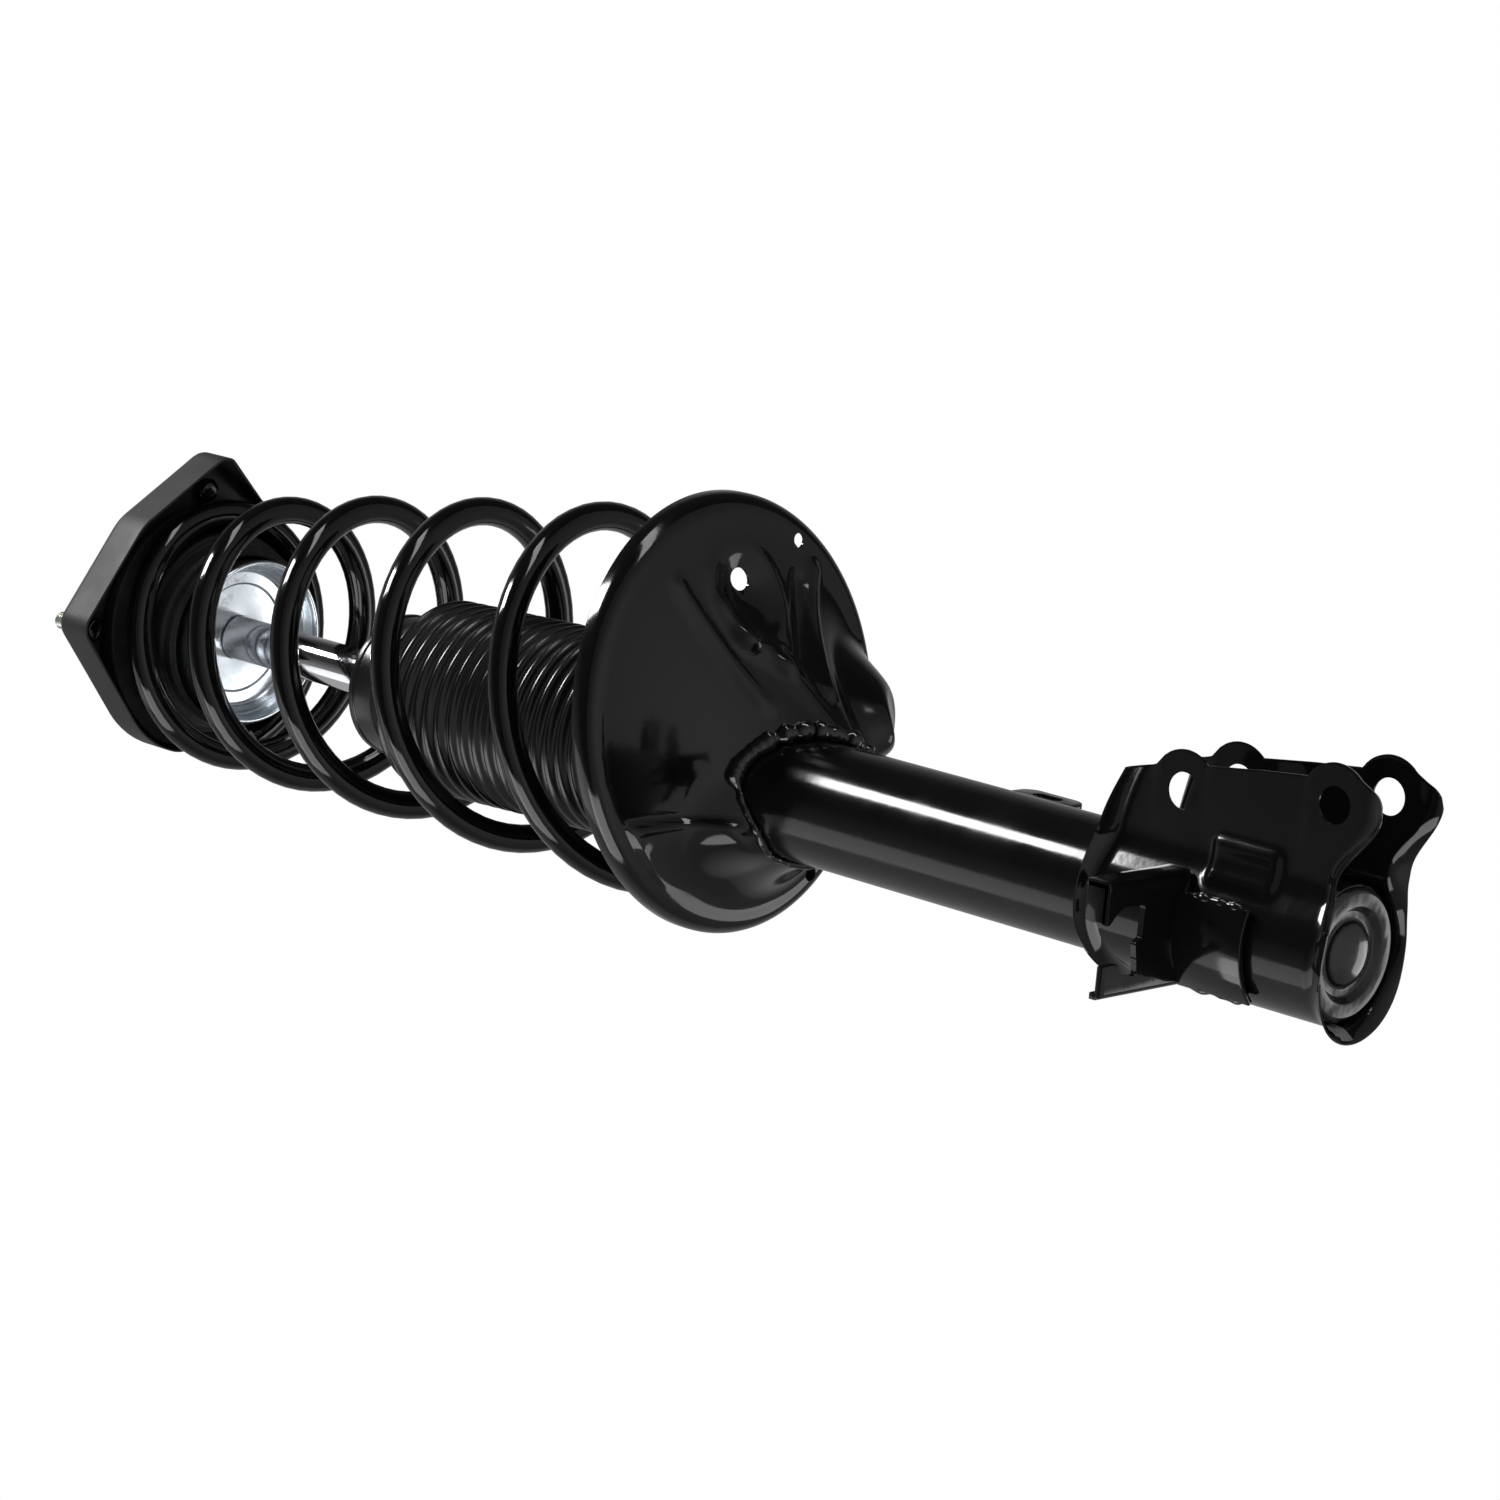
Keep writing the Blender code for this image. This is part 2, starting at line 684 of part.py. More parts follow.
def guide_bottom():
    return TUBE_TOP_Z - STRIKER_SHEET - SEAL_HEIGHT - GUIDE_HEIGHT - 2 * GAP


def collar(name, inner, outer, bottom, top, skin, segments=HIDDEN_SEGMENTS):
    """A plain ring or tube."""
    profile = [(inner, bottom), (outer, bottom), (outer, top), (inner, top)]
    return add_object(name, revolved(profile, segments), skin)


def piston_group():
    bore = PRESSURE_TUBE_RADIUS - PRESSURE_TUBE_WALL
    neck = PISTON_NECK_RADIUS + GAP
    top = guide_bottom() - GAP
    collar(
        "rebound_stop",
        ROD_RADIUS + GAP,
        bore - 2 * MM,
        top - REBOUND_STOP_HEIGHT,
        top,
        black_rubber(),
    )
    groove = PISTON_HEIGHT / 4
    piston_edge = bore - MM
    bottom = PISTON_TOP_Z - PISTON_HEIGHT
    profile = [
        (neck, bottom),
        (piston_edge, bottom),
        (piston_edge, bottom + groove),
        (piston_edge - MM, bottom + groove),
        (piston_edge - MM, PISTON_TOP_Z - groove),
        (piston_edge, PISTON_TOP_Z - groove),
        (piston_edge, PISTON_TOP_Z),
        (neck, PISTON_TOP_Z),
    ]
    add_object("piston", revolved(profile, HIDDEN_SEGMENTS), sintered_iron())
    collar(
        "piston_ring",
        piston_edge - MM + GAP,
        bore - RUNNING_GAP,
        bottom + groove + GAP,
        PISTON_TOP_Z - groove - GAP,
        plastic_band(),
    )
    disc = piston_edge - 2 * MM
    collar(
        "upper_valve_disc",
        neck,
        disc,
        PISTON_TOP_Z + GAP,
        PISTON_TOP_Z + GAP + VALVE_DISC_HEIGHT - GAP,
        bare_steel(),
    )
    disc_top = bottom - GAP
    collar(
        "lower_valve_disc", neck, disc, disc_top - VALVE_DISC_HEIGHT, disc_top, bare_steel()
    )
    nut_top = disc_top - VALVE_DISC_HEIGHT - GAP
    hex_nut(
        "piston_nut", PISTON_NUT_FLATS, neck, nut_top - PISTON_NUT_HEIGHT, nut_top, bare_steel()
    )


# Coil spring


def pan_plane(x, y):
    """Height of the underside of the pan's floor at a place."""
    return PAN_FLOOR_Z + math.tan(PAN_TILT) * (x - PAN_OFFSET) + math.tan(PAN_TWIST) * y


def spring_pitch(turn):
    lift = (turn - SPRING_LIFT_TURNS[0]) / (SPRING_LIFT_TURNS[1] - SPRING_LIFT_TURNS[0])
    land = (turn - SPRING_LAND_TURNS[0]) / (SPRING_LAND_TURNS[1] - SPRING_LAND_TURNS[0])
    grown = SPRING_PITCH[0] + SPRING_PITCH[1] * turn + SPRING_PITCH[2] * turn * turn
    return grown * smooth_step(lift) * (1.0 - smooth_step(land))


def spring_radius(turn):
    """Coil radius: even on the pad, growing, then limited to the flat of the pan."""
    most = PAN_RADIUS - PAN_ROUNDING + GAP
    grown = max(turn, 0.0)
    radius = SPRING_TOP_RADIUS + SPRING_GROWTH * grown + SPRING_GROWTH_RISE * grown * grown
    return min(radius, most)


def spring_points():
    """Centre line of the wire, from its tip on the pad to its tip in the pan."""
    count = round((SPRING_LAST_TURN - SPRING_FIRST_TURN) * SPRING_POINTS_PER_TURN)
    turns = [
        SPRING_FIRST_TURN + (SPRING_LAST_TURN - SPRING_FIRST_TURN) * step / count
        for step in range(count + 1)
    ]
    fallen = [0.0]
    for before, after in zip(turns, turns[1:]):
        middle = spring_pitch((before + after) / 2)
        fallen.append(fallen[-1] + middle * (after - before))
    landing = PAN_FLOOR_Z + PAN_SHEET + GAP + WIRE_RADIUS
    points = []
    for turn, fall in zip(turns, fallen):
        share = fall / fallen[-1]
        centre = SPRING_TOP_OFFSET + (PAN_OFFSET - SPRING_TOP_OFFSET) * share
        centre += SPRING_MIDDLE_SHIFT * math.sin(math.pi * share)
        turned = share**SPRING_TILT_POWER
        tilt = SPRING_TOP_TILT + (PAN_TILT - SPRING_TOP_TILT) * turned
        radius = spring_radius(turn)
        across = radius * math.cos(math.tau * turn)
        aside = -radius * math.sin(math.tau * turn)
        height = SPRING_SEAT_Z + (landing - SPRING_SEAT_Z) * share
        height += math.tan(tilt) * across + math.tan(PAN_TWIST) * turned * aside
        points.append(Vector((centre + across, aside, height)))
    return points


def least_self_gap(points, wire, apart):
    """Least distance between the surfaces of stretches at least this many points apart."""
    least = min(
        (points[i] - points[j]).length
        for i in range(len(points))
        for j in range(i + apart, len(points))
    )
    return least - 2 * wire


def coil_spring():
    points = spring_points()
    gap = least_self_gap(points, WIRE_RADIUS, SPRING_POINTS_PER_TURN // 2)
    print(f"coil_spring: least gap to itself {gap / MM:.2f} mm")
    wire = bpy.data.curves.new("coil_spring", "CURVE")
    wire.dimensions = "3D"
    wire.bevel_depth = WIRE_RADIUS
    wire.bevel_resolution = 1
    wire.use_fill_caps = True
    line = wire.splines.new("POLY")
    line.points.add(len(points) - 1)
    for target, point in zip(line.points, points):
        target.co = (*point, 1.0)
    line.use_smooth = True
    made = bpy.data.objects.new("coil_spring", wire)
    bpy.context.collection.objects.link(made)
    made.data.materials.append(gloss_black())


# Lower group


def strut_tube():
    collar(
        "strut_tube",
        TUBE_RADIUS - TUBE_WALL,
        TUBE_RADIUS,
        TUBE_BOTTOM_Z,
        TUBE_TOP_Z - STRIKER_SHEET - GAP,
        gloss_black(),
        TUBE_SEGMENTS,
    )


def striker_cap():
    outer = TUBE_RADIUS + GAP + STRIKER_SHEET
    path = [
        (outer, TUBE_TOP_Z - STRIKER_SKIRT),
        (outer, TUBE_TOP_Z - 2 * MM),
        (outer - 2 * MM, TUBE_TOP_Z),
        (ROD_RADIUS + 3 * MM, TUBE_TOP_Z),
    ]
    inner = [
        (ROD_RADIUS + 3 * MM, TUBE_TOP_Z - STRIKER_SHEET),
        (outer - STRIKER_SHEET, TUBE_TOP_Z - STRIKER_SHEET),
        (outer - STRIKER_SHEET, TUBE_TOP_Z - STRIKER_SKIRT),
    ]
    add_object("striker_cap", revolved(path + inner), zinc())


def seal_and_guide():
    inside = TUBE_RADIUS - TUBE_WALL - GAP
    seal_top = TUBE_TOP_Z - STRIKER_SHEET - GAP
    lip = ROD_RADIUS + RUNNING_GAP
    profile = [
        (lip, seal_top - SEAL_HEIGHT / 2),
        (ROD_RADIUS + 4 * MM, seal_top - SEAL_HEIGHT),
        (inside, seal_top - SEAL_HEIGHT),
        (inside, seal_top),
        (ROD_RADIUS + 4 * MM, seal_top),
        (lip, seal_top - SEAL_HEIGHT / 4),
    ]
    add_object("oil_seal", revolved(profile, HIDDEN_SEGMENTS), black_rubber())
    guide_top = seal_top - SEAL_HEIGHT - GAP
    bottom = guide_bottom()
    bush = ROD_RADIUS + RUNNING_GAP + BUSH_WALL
    spigot = PRESSURE_TUBE_RADIUS - PRESSURE_TUBE_WALL - GAP
    ledge = bottom + GUIDE_HEIGHT / 3
    profile = [
        (bush + GAP, bottom),
        (spigot, bottom),
        (spigot, ledge),
        (inside, ledge),
        (inside, guide_top),
        (bush + GAP, guide_top),
    ]
    add_object("rod_guide", revolved(profile, HIDDEN_SEGMENTS), sintered_iron())
    collar("guide_bush", ROD_RADIUS + RUNNING_GAP, bush, bottom + MM, guide_top - MM, bare_steel())
    return ledge


def pressure_tube(ledge):
    valve_top = TUBE_BOTTOM_Z + BASE_VALVE_HEIGHT
    collar(
        "pressure_tube",
        PRESSURE_TUBE_RADIUS - PRESSURE_TUBE_WALL,
        PRESSURE_TUBE_RADIUS,
        valve_top - BASE_VALVE_HEIGHT / 4,
        ledge - GAP,
        bare_steel(),
    )
    bottom = TUBE_BOTTOM_Z + 2 * CAP_PLUG_DEPTH / 3
    spigot = PRESSURE_TUBE_RADIUS - PRESSURE_TUBE_WALL - GAP
    shelf = valve_top - BASE_VALVE_HEIGHT / 4 - GAP
    profile = [
        (0.0, valve_top),
        (spigot, valve_top),
        (spigot, shelf),
        (PRESSURE_TUBE_RADIUS + MM, shelf),
        (PRESSURE_TUBE_RADIUS + MM, bottom + CAP_PLUG_DEPTH),
        (PRESSURE_TUBE_RADIUS - MM, bottom + CAP_PLUG_DEPTH / 2),
        (0.0, bottom + CAP_PLUG_DEPTH / 2),
    ]
    add_object(
        "base_valve_body", revolved(profile, HIDDEN_SEGMENTS, False), sintered_iron()
    )
    top = valve_top + GAP
    disc = [
        (0.0, top),
        (spigot - 3 * MM, top),
        (spigot - 3 * MM, top + VALVE_DISC_HEIGHT),
        (0.0, top + VALVE_DISC_HEIGHT),
    ]
    add_object("base_valve_disc", revolved(disc, HIDDEN_SEGMENTS, False), bare_steel())


def bottom_cap():
    plug = TUBE_RADIUS - TUBE_WALL - GAP
    face = TUBE_BOTTOM_Z - GAP - CAP_SHEET
    ring_floor = face + CAP_RING_DEPTH
    tip = ring_floor - CAP_DOME_HEIGHT
    dome = [
        (
            CAP_DOME_RADIUS * math.sin(math.pi / 2 * step / 4),
            tip + CAP_DOME_HEIGHT * (1 - math.cos(math.pi / 2 * step / 4)),
        )
        for step in range(5)
    ]
    profile = dome + [
        (CAP_RING_RADIUS, ring_floor),
        (CAP_RING_RADIUS + 2 * MM, face),
        (TUBE_RADIUS - MM, face),
        (TUBE_RADIUS, face + MM),
        (TUBE_RADIUS, TUBE_BOTTOM_Z - GAP),
        (plug, TUBE_BOTTOM_Z - GAP),
        (plug, TUBE_BOTTOM_Z + CAP_PLUG_DEPTH / 3),
        (0.0, TUBE_BOTTOM_Z + CAP_PLUG_DEPTH / 3),
    ]
    add_object("bottom_cap", revolved(profile, ring=False), gloss_black())


def near_line(x, y, start, end):
    """Distance from a point to a straight stretch."""
    along = Vector(end) - Vector(start)
    share = (Vector((x, y)) - Vector(start)).dot(along) / along.length_squared
    share = min(max(share, 0.0), 1.0)
    return (Vector((x, y)) - Vector(start) - along * share).length


def bump_shape(distance, width):
    return smooth_step(1.0 - distance / width)


def pan_feature(x, y):
    """How far the pan's underside stands out downward at a place, from its pressed features."""
    out = 0.0
    for start, end, width, height in PAN_RIDGES:
        out += height * bump_shape(near_line(x, y, start, end), width)
    aside = near_line(x, y, PAN_STEP_START, PAN_STEP_END)
    out += PAN_STEP_DEPTH * bump_shape(aside - PAN_STEP_WIDTH / 2, PAN_STEP_WIDTH / 2)
    aside = math.dist((x, y), PAN_LOBE_CENTRE)
    out += PAN_LOBE_DEPTH * bump_shape(aside - PAN_LOBE_RADIUS / 3, 2 * PAN_LOBE_RADIUS / 3)
    across = math.dist((x, y), (PAN_OFFSET, 0.0))
    under_coil = PAN_RADIUS - PAN_ROUNDING - WIRE_RADIUS
    room = bump_shape(across - under_coil + 2 * WIRE_RADIUS, 2 * WIRE_RADIUS)
    aside = math.dist((x, y), PAN_POCKET_CENTRE)
    out -= PAN_POCKET_DEPTH * bump_shape(aside, PAN_POCKET_RADIUS) * room
    return out


def pan_ring_places():
    """Rows of places on the floor, from the tube out to the flat ring under the coil."""
    inner = TUBE_RADIUS + GAP
    outer = PAN_RADIUS - PAN_ROUNDING
    rows = []
    for ring in range(PAN_RINGS + 1):
        share = ring / PAN_RINGS
        row = []
        for side in range(PAN_SIDES):
            angle = math.tau * side / PAN_SIDES
            tube = Vector(polar(inner, angle))
            edge = Vector(polar(outer, angle)) + Vector((PAN_OFFSET, 0.0))
            row.append((tube.lerp(edge, share), angle))
        rows.append((share, row))
    return rows


def pan_underside(place, angle, share):
    floor = pan_plane(place.x, place.y)
    collar_z = PAN_COLLAR_Z - PAN_COLLAR_SWING * math.sin(angle)
    height = floor + (collar_z - floor) * (1.0 - share) ** PAN_COLLAR_CURVE
    return height - pan_feature(place.x, place.y) * smooth_step(share * 4)


def pan_rounding(radius, start, end):
    """Quarter of a round section, from the flat floor up to the rim or back."""
    inner = PAN_RADIUS - PAN_ROUNDING
    steps = PAN_ROUNDING_STEPS
    turned = [start + (end - start) * step / steps for step in range(steps + 1)]
    return [
        (inner + radius * math.sin(angle), PAN_ROUNDING - radius * math.cos(angle))
        for angle in turned
    ]


def lower_spring_seat():
    rows = pan_ring_places()
    under = []
    for share, row in rows:
        ring = [(spot, pan_underside(spot, angle, share)) for spot, angle in row]
        under.append(ring)
    upper = []
    last = len(under) - 1
    for index, ring in enumerate(under):
        before = under[max(index - 1, 0)]
        after = under[min(index + 1, last)]
        lifted = []
        for side, (spot, height) in enumerate(ring):
            run = (after[side][0] - before[side][0]).length
            slope = (after[side][1] - before[side][1]) / run
            lift = PAN_SHEET * min(math.hypot(1.0, slope), 2.4)
            lifted.append((spot, height + lift))
        upper.append(lifted)
    quarter = math.pi / 2
    wall = pan_rounding(PAN_ROUNDING, 0.0, quarter)[1:]
    wall += pan_rounding(PAN_ROUNDING - PAN_SHEET, quarter, 0.0)[:-1]
    loops = [[(spot.x, spot.y, height) for spot, height in ring] for ring in under]
    for radius, height in wall:
        loop = []
        for side in range(PAN_SIDES):
            x, y = polar(radius, math.tau * side / PAN_SIDES)
            x += PAN_OFFSET
            loop.append((x, y, pan_plane(x, y) + height))
        loops.append(loop)
    loops += [[(spot.x, spot.y, height) for spot, height in ring] for ring in reversed(upper)]
    made = bmesh.new()
    grid = [[made.verts.new(point) for point in loop] for loop in loops]
    for index, loop in enumerate(grid):
        following = grid[(index + 1) % len(grid)]
        for side in range(PAN_SIDES):
            beside = (side + 1) % PAN_SIDES
            made.faces.new((loop[side], loop[beside], following[beside], following[side]))
    pan = add_object("lower_spring_seat", made, gloss_black())
    for number, (centre, radius) in enumerate(PAN_HOLES, 1):
        low = PAN_COLLAR_Z - 2 * PAN_COLLAR_SWING
        high = PAN_FLOOR_Z + 4 * PAN_ROUNDING
        drill(pan, f"pan_hole_{number}", radius, low, high, centre, sides=16)


def wrap_radius():
    """Radius of the wrapped sheet's middle line."""
    return TUBE_RADIUS + GAP + BRACKET_SHEET / 2


def ear_foot_x():
    """Where the flat ears begin, clear of the tube."""
    middle = EAR_GAP / 2 + BRACKET_SHEET / 2
    return math.sqrt(wrap_radius() ** 2 - middle**2) + EAR_FOOT_RUN


def ear_path():
    """Half of the wrapped sheet's middle line, from the -Y ear's end to the back of the tube."""
    middle = EAR_GAP / 2 + BRACKET_SHEET / 2
    wrap = wrap_radius()
    join = Vector(polar(wrap, -WRAP_START_ANGLE))
    leaving = Vector((-math.sin(WRAP_START_ANGLE), -math.cos(WRAP_START_ANGLE)))
    foot = Vector((ear_foot_x(), -middle))
    straight = [EAR_REACH, EMBOSS_X[1] + EMBOSS_SIDE, EMBOSS_X[1]]
    path = [Vector((x, -middle)) for x in straight]
    handle = 0.4 * (foot - join).length
    controls = (foot, foot + Vector((-handle, 0.0)), join - leaving * handle, join)
    steps = 5
    for step in range(steps):
        share = step / steps
        rest = 1.0 - share
        path.append(
            controls[0] * rest**3
            + controls[1] * 3 * rest**2 * share
            + controls[2] * 3 * rest * share**2
            + controls[3] * share**3
        )
    arc_steps = 9
    for step in range(arc_steps + 1):
        angle = -WRAP_START_ANGLE - (math.pi - WRAP_START_ANGLE) * step / arc_steps
        path.append(Vector(polar(wrap, angle)))
    return path


def mirrored(half):
    """The far half of a path or of its normals, without the point they share."""
    return [Vector((item.x, -item.y)) for item in reversed(half[:-1])]


def path_normals(path):
    """Directions away from the tube along the path."""
    normals = []
    for index in range(len(path)):
        before = path[max(index - 1, 0)]
        after = path[min(index + 1, len(path) - 1)]
        along = (after - before).normalized()
        normals.append(Vector((-along.y, along.x)))
    return normals


def bracket_top(x):
    """The upper edge falls towards the ear's end and towards the back of the tube."""
    start = TUBE_RADIUS * math.cos(WRAP_START_ANGLE)
    reach = max(0.0, (x - start) / (EAR_TOP_CORNER[0] - start))
    behind = max(0.0, -x / TUBE_RADIUS)
    return BRACKET_TOP_Z - BRACKET_TOP_FALL * reach**2 - BRACKET_TOP_BACK_FALL * behind**2


def bracket_bottom(x):
    """The lower edge falls to the ear's foot."""
    reach = (x - ear_foot_x()) / (EAR_FOOT_CENTRE[0] - ear_foot_x())
    return BRACKET_BOTTOM_Z - BRACKET_BOTTOM_FALL * smooth_step(reach)


def flare_height(x, least):
    """How far the turned edge stands out: most where the ears leave the tube."""
    return least + FLARE_BEND_EXTRA * bump_shape(abs(x - ear_foot_x()), TUBE_RADIUS)


def knuckle_bracket():
    half = ear_path()
    outward = path_normals(half)
    path = half + mirrored(half)
    outward += mirrored(outward)
    rows = [("top", depth) for depth in (0.0, 0.27, 0.6, 1.0)]
    rows += [("at", EMBOSS_Z[0] + EMBOSS_SIDE), ("at", EMBOSS_Z[0])]
    rows += [("at", EMBOSS_Z[1]), ("at", EMBOSS_Z[1] - EMBOSS_SIDE)]
    rows += [("bottom", depth) for depth in (1.0, 0.6, 0.27, 0.0)]
    made = bmesh.new()
    sides = {-1: [], 1: []}
    for kind, value in rows:
        lines = {-1: [], 1: []}
        for point, normal in zip(path, outward):
            depth = value if kind != "at" else 1.0
            if kind == "top":
                z = bracket_top(point.x) - depth * FLARE_WIDTH
            elif kind == "bottom":
                z = bracket_bottom(point.x) + depth * FLARE_WIDTH
            else:
                z = value
            back = FLARE_BACK_EXTRA * smooth_step(-point.x / TUBE_RADIUS)
            least = FLARE_HEIGHT_TOP if kind == "top" else FLARE_HEIGHT_BOTTOM + back
            shift = flare_height(point.x, least) * (1.0 - depth) ** 2
            embossed = kind == "at" and EMBOSS_Z[1] <= value <= EMBOSS_Z[0]
            if embossed and EMBOSS_X[0] <= point.x <= EMBOSS_X[1]:
                shift += EMBOSS_HEIGHT
            for side in (-1, 1):
                spot = point + normal * (shift + side * BRACKET_SHEET / 2)
                lines[side].append(made.verts.new((spot.x, spot.y, z)))
        for side in (-1, 1):
            sides[side].append(lines[side])
    skin_faces(made, sides[1])
    skin_faces(made, sides[-1])
    bridge_borders(made, sides[-1], sides[1])
    bracket = add_object("knuckle_bracket", made, gloss_black())
    combine(bracket, helper("ear_edge", ear_edge_shape()))
    for number, (x, z) in enumerate((UPPER_BOLT, LOWER_BOLT), 1):
        drill(
            bracket, f"bolt_hole_{number}", BOLT_HOLE_RADIUS, -EAR_GAP, EAR_GAP, (x, z), "Y", 28
        )


def skin_faces(made, rows):
    for upper, lower in zip(rows, rows[1:]):
        for index in range(len(upper) - 1):
            made.faces.new((upper[index], upper[index + 1], lower[index + 1], lower[index]))


def bridge_borders(made, inner, outer):
    """The narrow faces round the edge of a thick sheet, between its two skins."""
    pairs = []
    pairs += [(inner[0][i], outer[0][i]) for i in range(len(inner[0]))]
    pairs += [(inner[i][-1], outer[i][-1]) for i in range(1, len(inner))]
    pairs += [(inner[-1][i], outer[-1][i]) for i in range(len(inner[0]) - 2, -1, -1)]
    pairs += [(inner[i][0], outer[i][0]) for i in range(len(inner) - 2, 0, -1)]
    for index, (first_in, first_out) in enumerate(pairs):
        next_in, next_out = pairs[(index + 1) % len(pairs)]
        made.faces.new((first_in, first_out, next_out, next_in))


def arc(centre, radius, start, end, steps):
    return [
        (
            centre[0] + radius * math.cos(start + (end - start) * step / steps),
            centre[1] + radius * math.sin(start + (end - start) * step / steps),
        )
        for step in range(steps + 1)
    ]


def ear_edge_shape():
    """What is cut off beyond the ears' free edges: two round lobes, a web and a round foot."""
    above = BRACKET_TOP_Z + 3 * FLARE_WIDTH
    below = BRACKET_BOTTOM_Z - 5 * FLARE_WIDTH
    far = 2 * EAR_REACH
    rounding = CORNER_ROUNDING
    edge = [(far, above), (EAR_TOP_CORNER[0], above), EAR_TOP_CORNER]
    edge.append((EAR_TOP_CORNER[0] + rounding, EAR_TOP_CORNER[1] - 2 * rounding))
    edge += arc(UPPER_BOLT, LOBE_RADIUS, math.radians(62), math.radians(-42), 9)
    edge.append(EAR_WEB_PLACE)
    edge += arc(LOWER_BOLT, LOBE_RADIUS, math.radians(58), math.radians(-45), 9)
    edge += arc(EAR_FOOT_CENTRE, EAR_FOOT_RADIUS, math.radians(-20), math.radians(-90), 4)
    edge += [(EAR_FOOT_CENTRE[0], below), (far, below)]
    return prism(edge, -2 * EAR_GAP, 2 * EAR_GAP, "Y")


def hose_bracket():
    inner = TUBE_RADIUS + BRACKET_SHEET + 2 * GAP
    first, last = HOSE_STRAP_ANGLES
    steps = 12
    strap = arc((0.0, 0.0), inner, first, last, steps)
    strap += arc((0.0, 0.0), inner + HOSE_SHEET, last, first, steps)
    made = add_object(
        "hose_bracket", prism(strap, HOSE_STRAP_Z[1], HOSE_STRAP_Z[0]), gloss_black()
    )
    arm_low = HOSE_STRAP_Z[0] - HOSE_SHEET
    arm_high = HOSE_STRAP_Z[0] + GAP
    outline = bracket_skin(HOSE_ARM_X[0], HOSE_ARM_X[1], 2 * GAP)
    outline += [(HOSE_ARM_X[0], -HOSE_ARM_REACH), (HOSE_ARM_X[1], -HOSE_ARM_REACH)]
    combine(made, helper("hose_arm", prism(outline, arm_low, arm_high)), "UNION")
    flange_start = -inner - 4 * HOSE_SHEET
    flange_top = arm_high + HOSE_FLANGE_DEPTH
    flanges = (
        ("top", HOSE_ARM_X[1], flange_top),
        ("bottom", HOSE_ARM_X[0], arm_high + HOSE_LIP_DEPTH),
    )
    for name, x, top in flanges:
        low = (x - HOSE_SHEET / 2, -HOSE_ARM_REACH - GAP, arm_low + GAP)
        high = (x + HOSE_SHEET / 2, flange_start, top)
        combine(made, helper(f"hose_flange_{name}", box(low, high)), "UNION")
    hook_low = (HOSE_HOOK_X, -HOSE_ARM_REACH - HOSE_SHEET / 2, arm_low + 2 * GAP)
    hook_high = (HOSE_ARM_X[1] + GAP, -HOSE_ARM_REACH + HOSE_SHEET / 2, flange_top - GAP)
    combine(made, helper("hose_hook", box(hook_low, hook_high)), "UNION")
    openings = (
        ("slot", HOSE_SLOT_X, HOSE_SLOT_Y),
        ("mouth", (HOSE_SLOT_X[0], HOSE_HOOK_X), (-2 * HOSE_ARM_REACH, HOSE_SLOT_Y[0] + MM)),
        ("notch", HOSE_NOTCH_X, HOSE_NOTCH_Y),
    )
    for name, (x0, x1), (y0, y1) in openings:
        cutter = box((x0, y0, arm_low - MM), (x1, y1, arm_high + MM))
        combine(made, helper(f"hose_{name}", cutter))


def bracket_skin(low_x, high_x, clearance):
    """The bracket's near side as seen from above, moved outward by a clearance."""
    half = ear_path()
    offset = BRACKET_SHEET / 2 + clearance
    line = [point + normal * offset for point, normal in zip(half, path_normals(half))]
    kept = []
    for before, after in zip(line, line[1:]):
        for limit in (high_x, low_x):
            if after.x < limit <= before.x:
                share = (limit - before.x) / (after.x - before.x)
                kept.append(tuple(before.lerp(after, share)))
        if low_x < after.x < high_x:
            kept.append(tuple(after))
    return kept


def line_tab():
    foot = math.sqrt((TUBE_RADIUS + 2 * GAP) ** 2 - TAB_X**2)
    reach = TUBE_RADIUS + TAB_STAND
    corners = [(foot, TAB_Z[1]), (reach, TAB_Z[1]), (reach, TAB_Z[0]), (foot, TAB_Z[0])]
    outline = filleted(corners, (MM, TAB_CORNER, TAB_CORNER, MM), 4)
    made = bmesh.new()
    points = [made.verts.new((TAB_X, y, z)) for y, z in outline]
    face = made.faces.new(points)
    pulled = bmesh.ops.extrude_face_region(made, geom=[face])
    moved = [item for item in pulled["geom"] if isinstance(item, bmesh.types.BMVert)]
    bmesh.ops.translate(made, verts=moved, vec=(TAB_SHEET, 0, 0))
    tab = add_object("line_tab", made, gloss_black())
    middle = (TAB_Z[0] + TAB_Z[1]) / 2
    y = (foot + reach) / 2
    low = (TAB_X - MM, y - TAB_SLOT_WIDTH / 2, middle - TAB_SLOT_LENGTH / 2)
    high = (TAB_X + TAB_SHEET + MM, y + TAB_SLOT_WIDTH / 2, middle + TAB_SLOT_LENGTH / 2)
    combine(tab, helper("tab_slot", box(low, high)))


def bump_stop():
    bottom = TUBE_TOP_Z + GAP
    length = BUMP_TOP_Z - bottom
    bore = ROD_RADIUS + GAP
    waist = BUMP_RADIUS - 5 * MM
    profile = [
        (bore, bottom),
        (BUMP_RADIUS - 2 * MM, bottom),
        (BUMP_RADIUS - MM, bottom + 0.16 * length),
        (waist, bottom + 0.24 * length),
        (waist, bottom + 0.30 * length),
        (BUMP_RADIUS - MM, bottom + 0.38 * length),
        (BUMP_RADIUS - MM, bottom + 0.5 * length),
        (waist, bottom + 0.58 * length),
        (waist, bottom + 0.62 * length),
        (BUMP_RADIUS, bottom + 0.7 * length),
        (BUMP_RADIUS, bottom + 0.84 * length),
        (BUMP_RADIUS - 2 * MM, bottom + 0.93 * length),
        (BUMP_RADIUS - 6 * MM, BUMP_TOP_Z),
        (bore + 3 * MM, BUMP_TOP_Z),
        (bore, BUMP_TOP_Z - 3 * MM),
    ]
    add_object("bump_stop", revolved(profile), black_rubber())


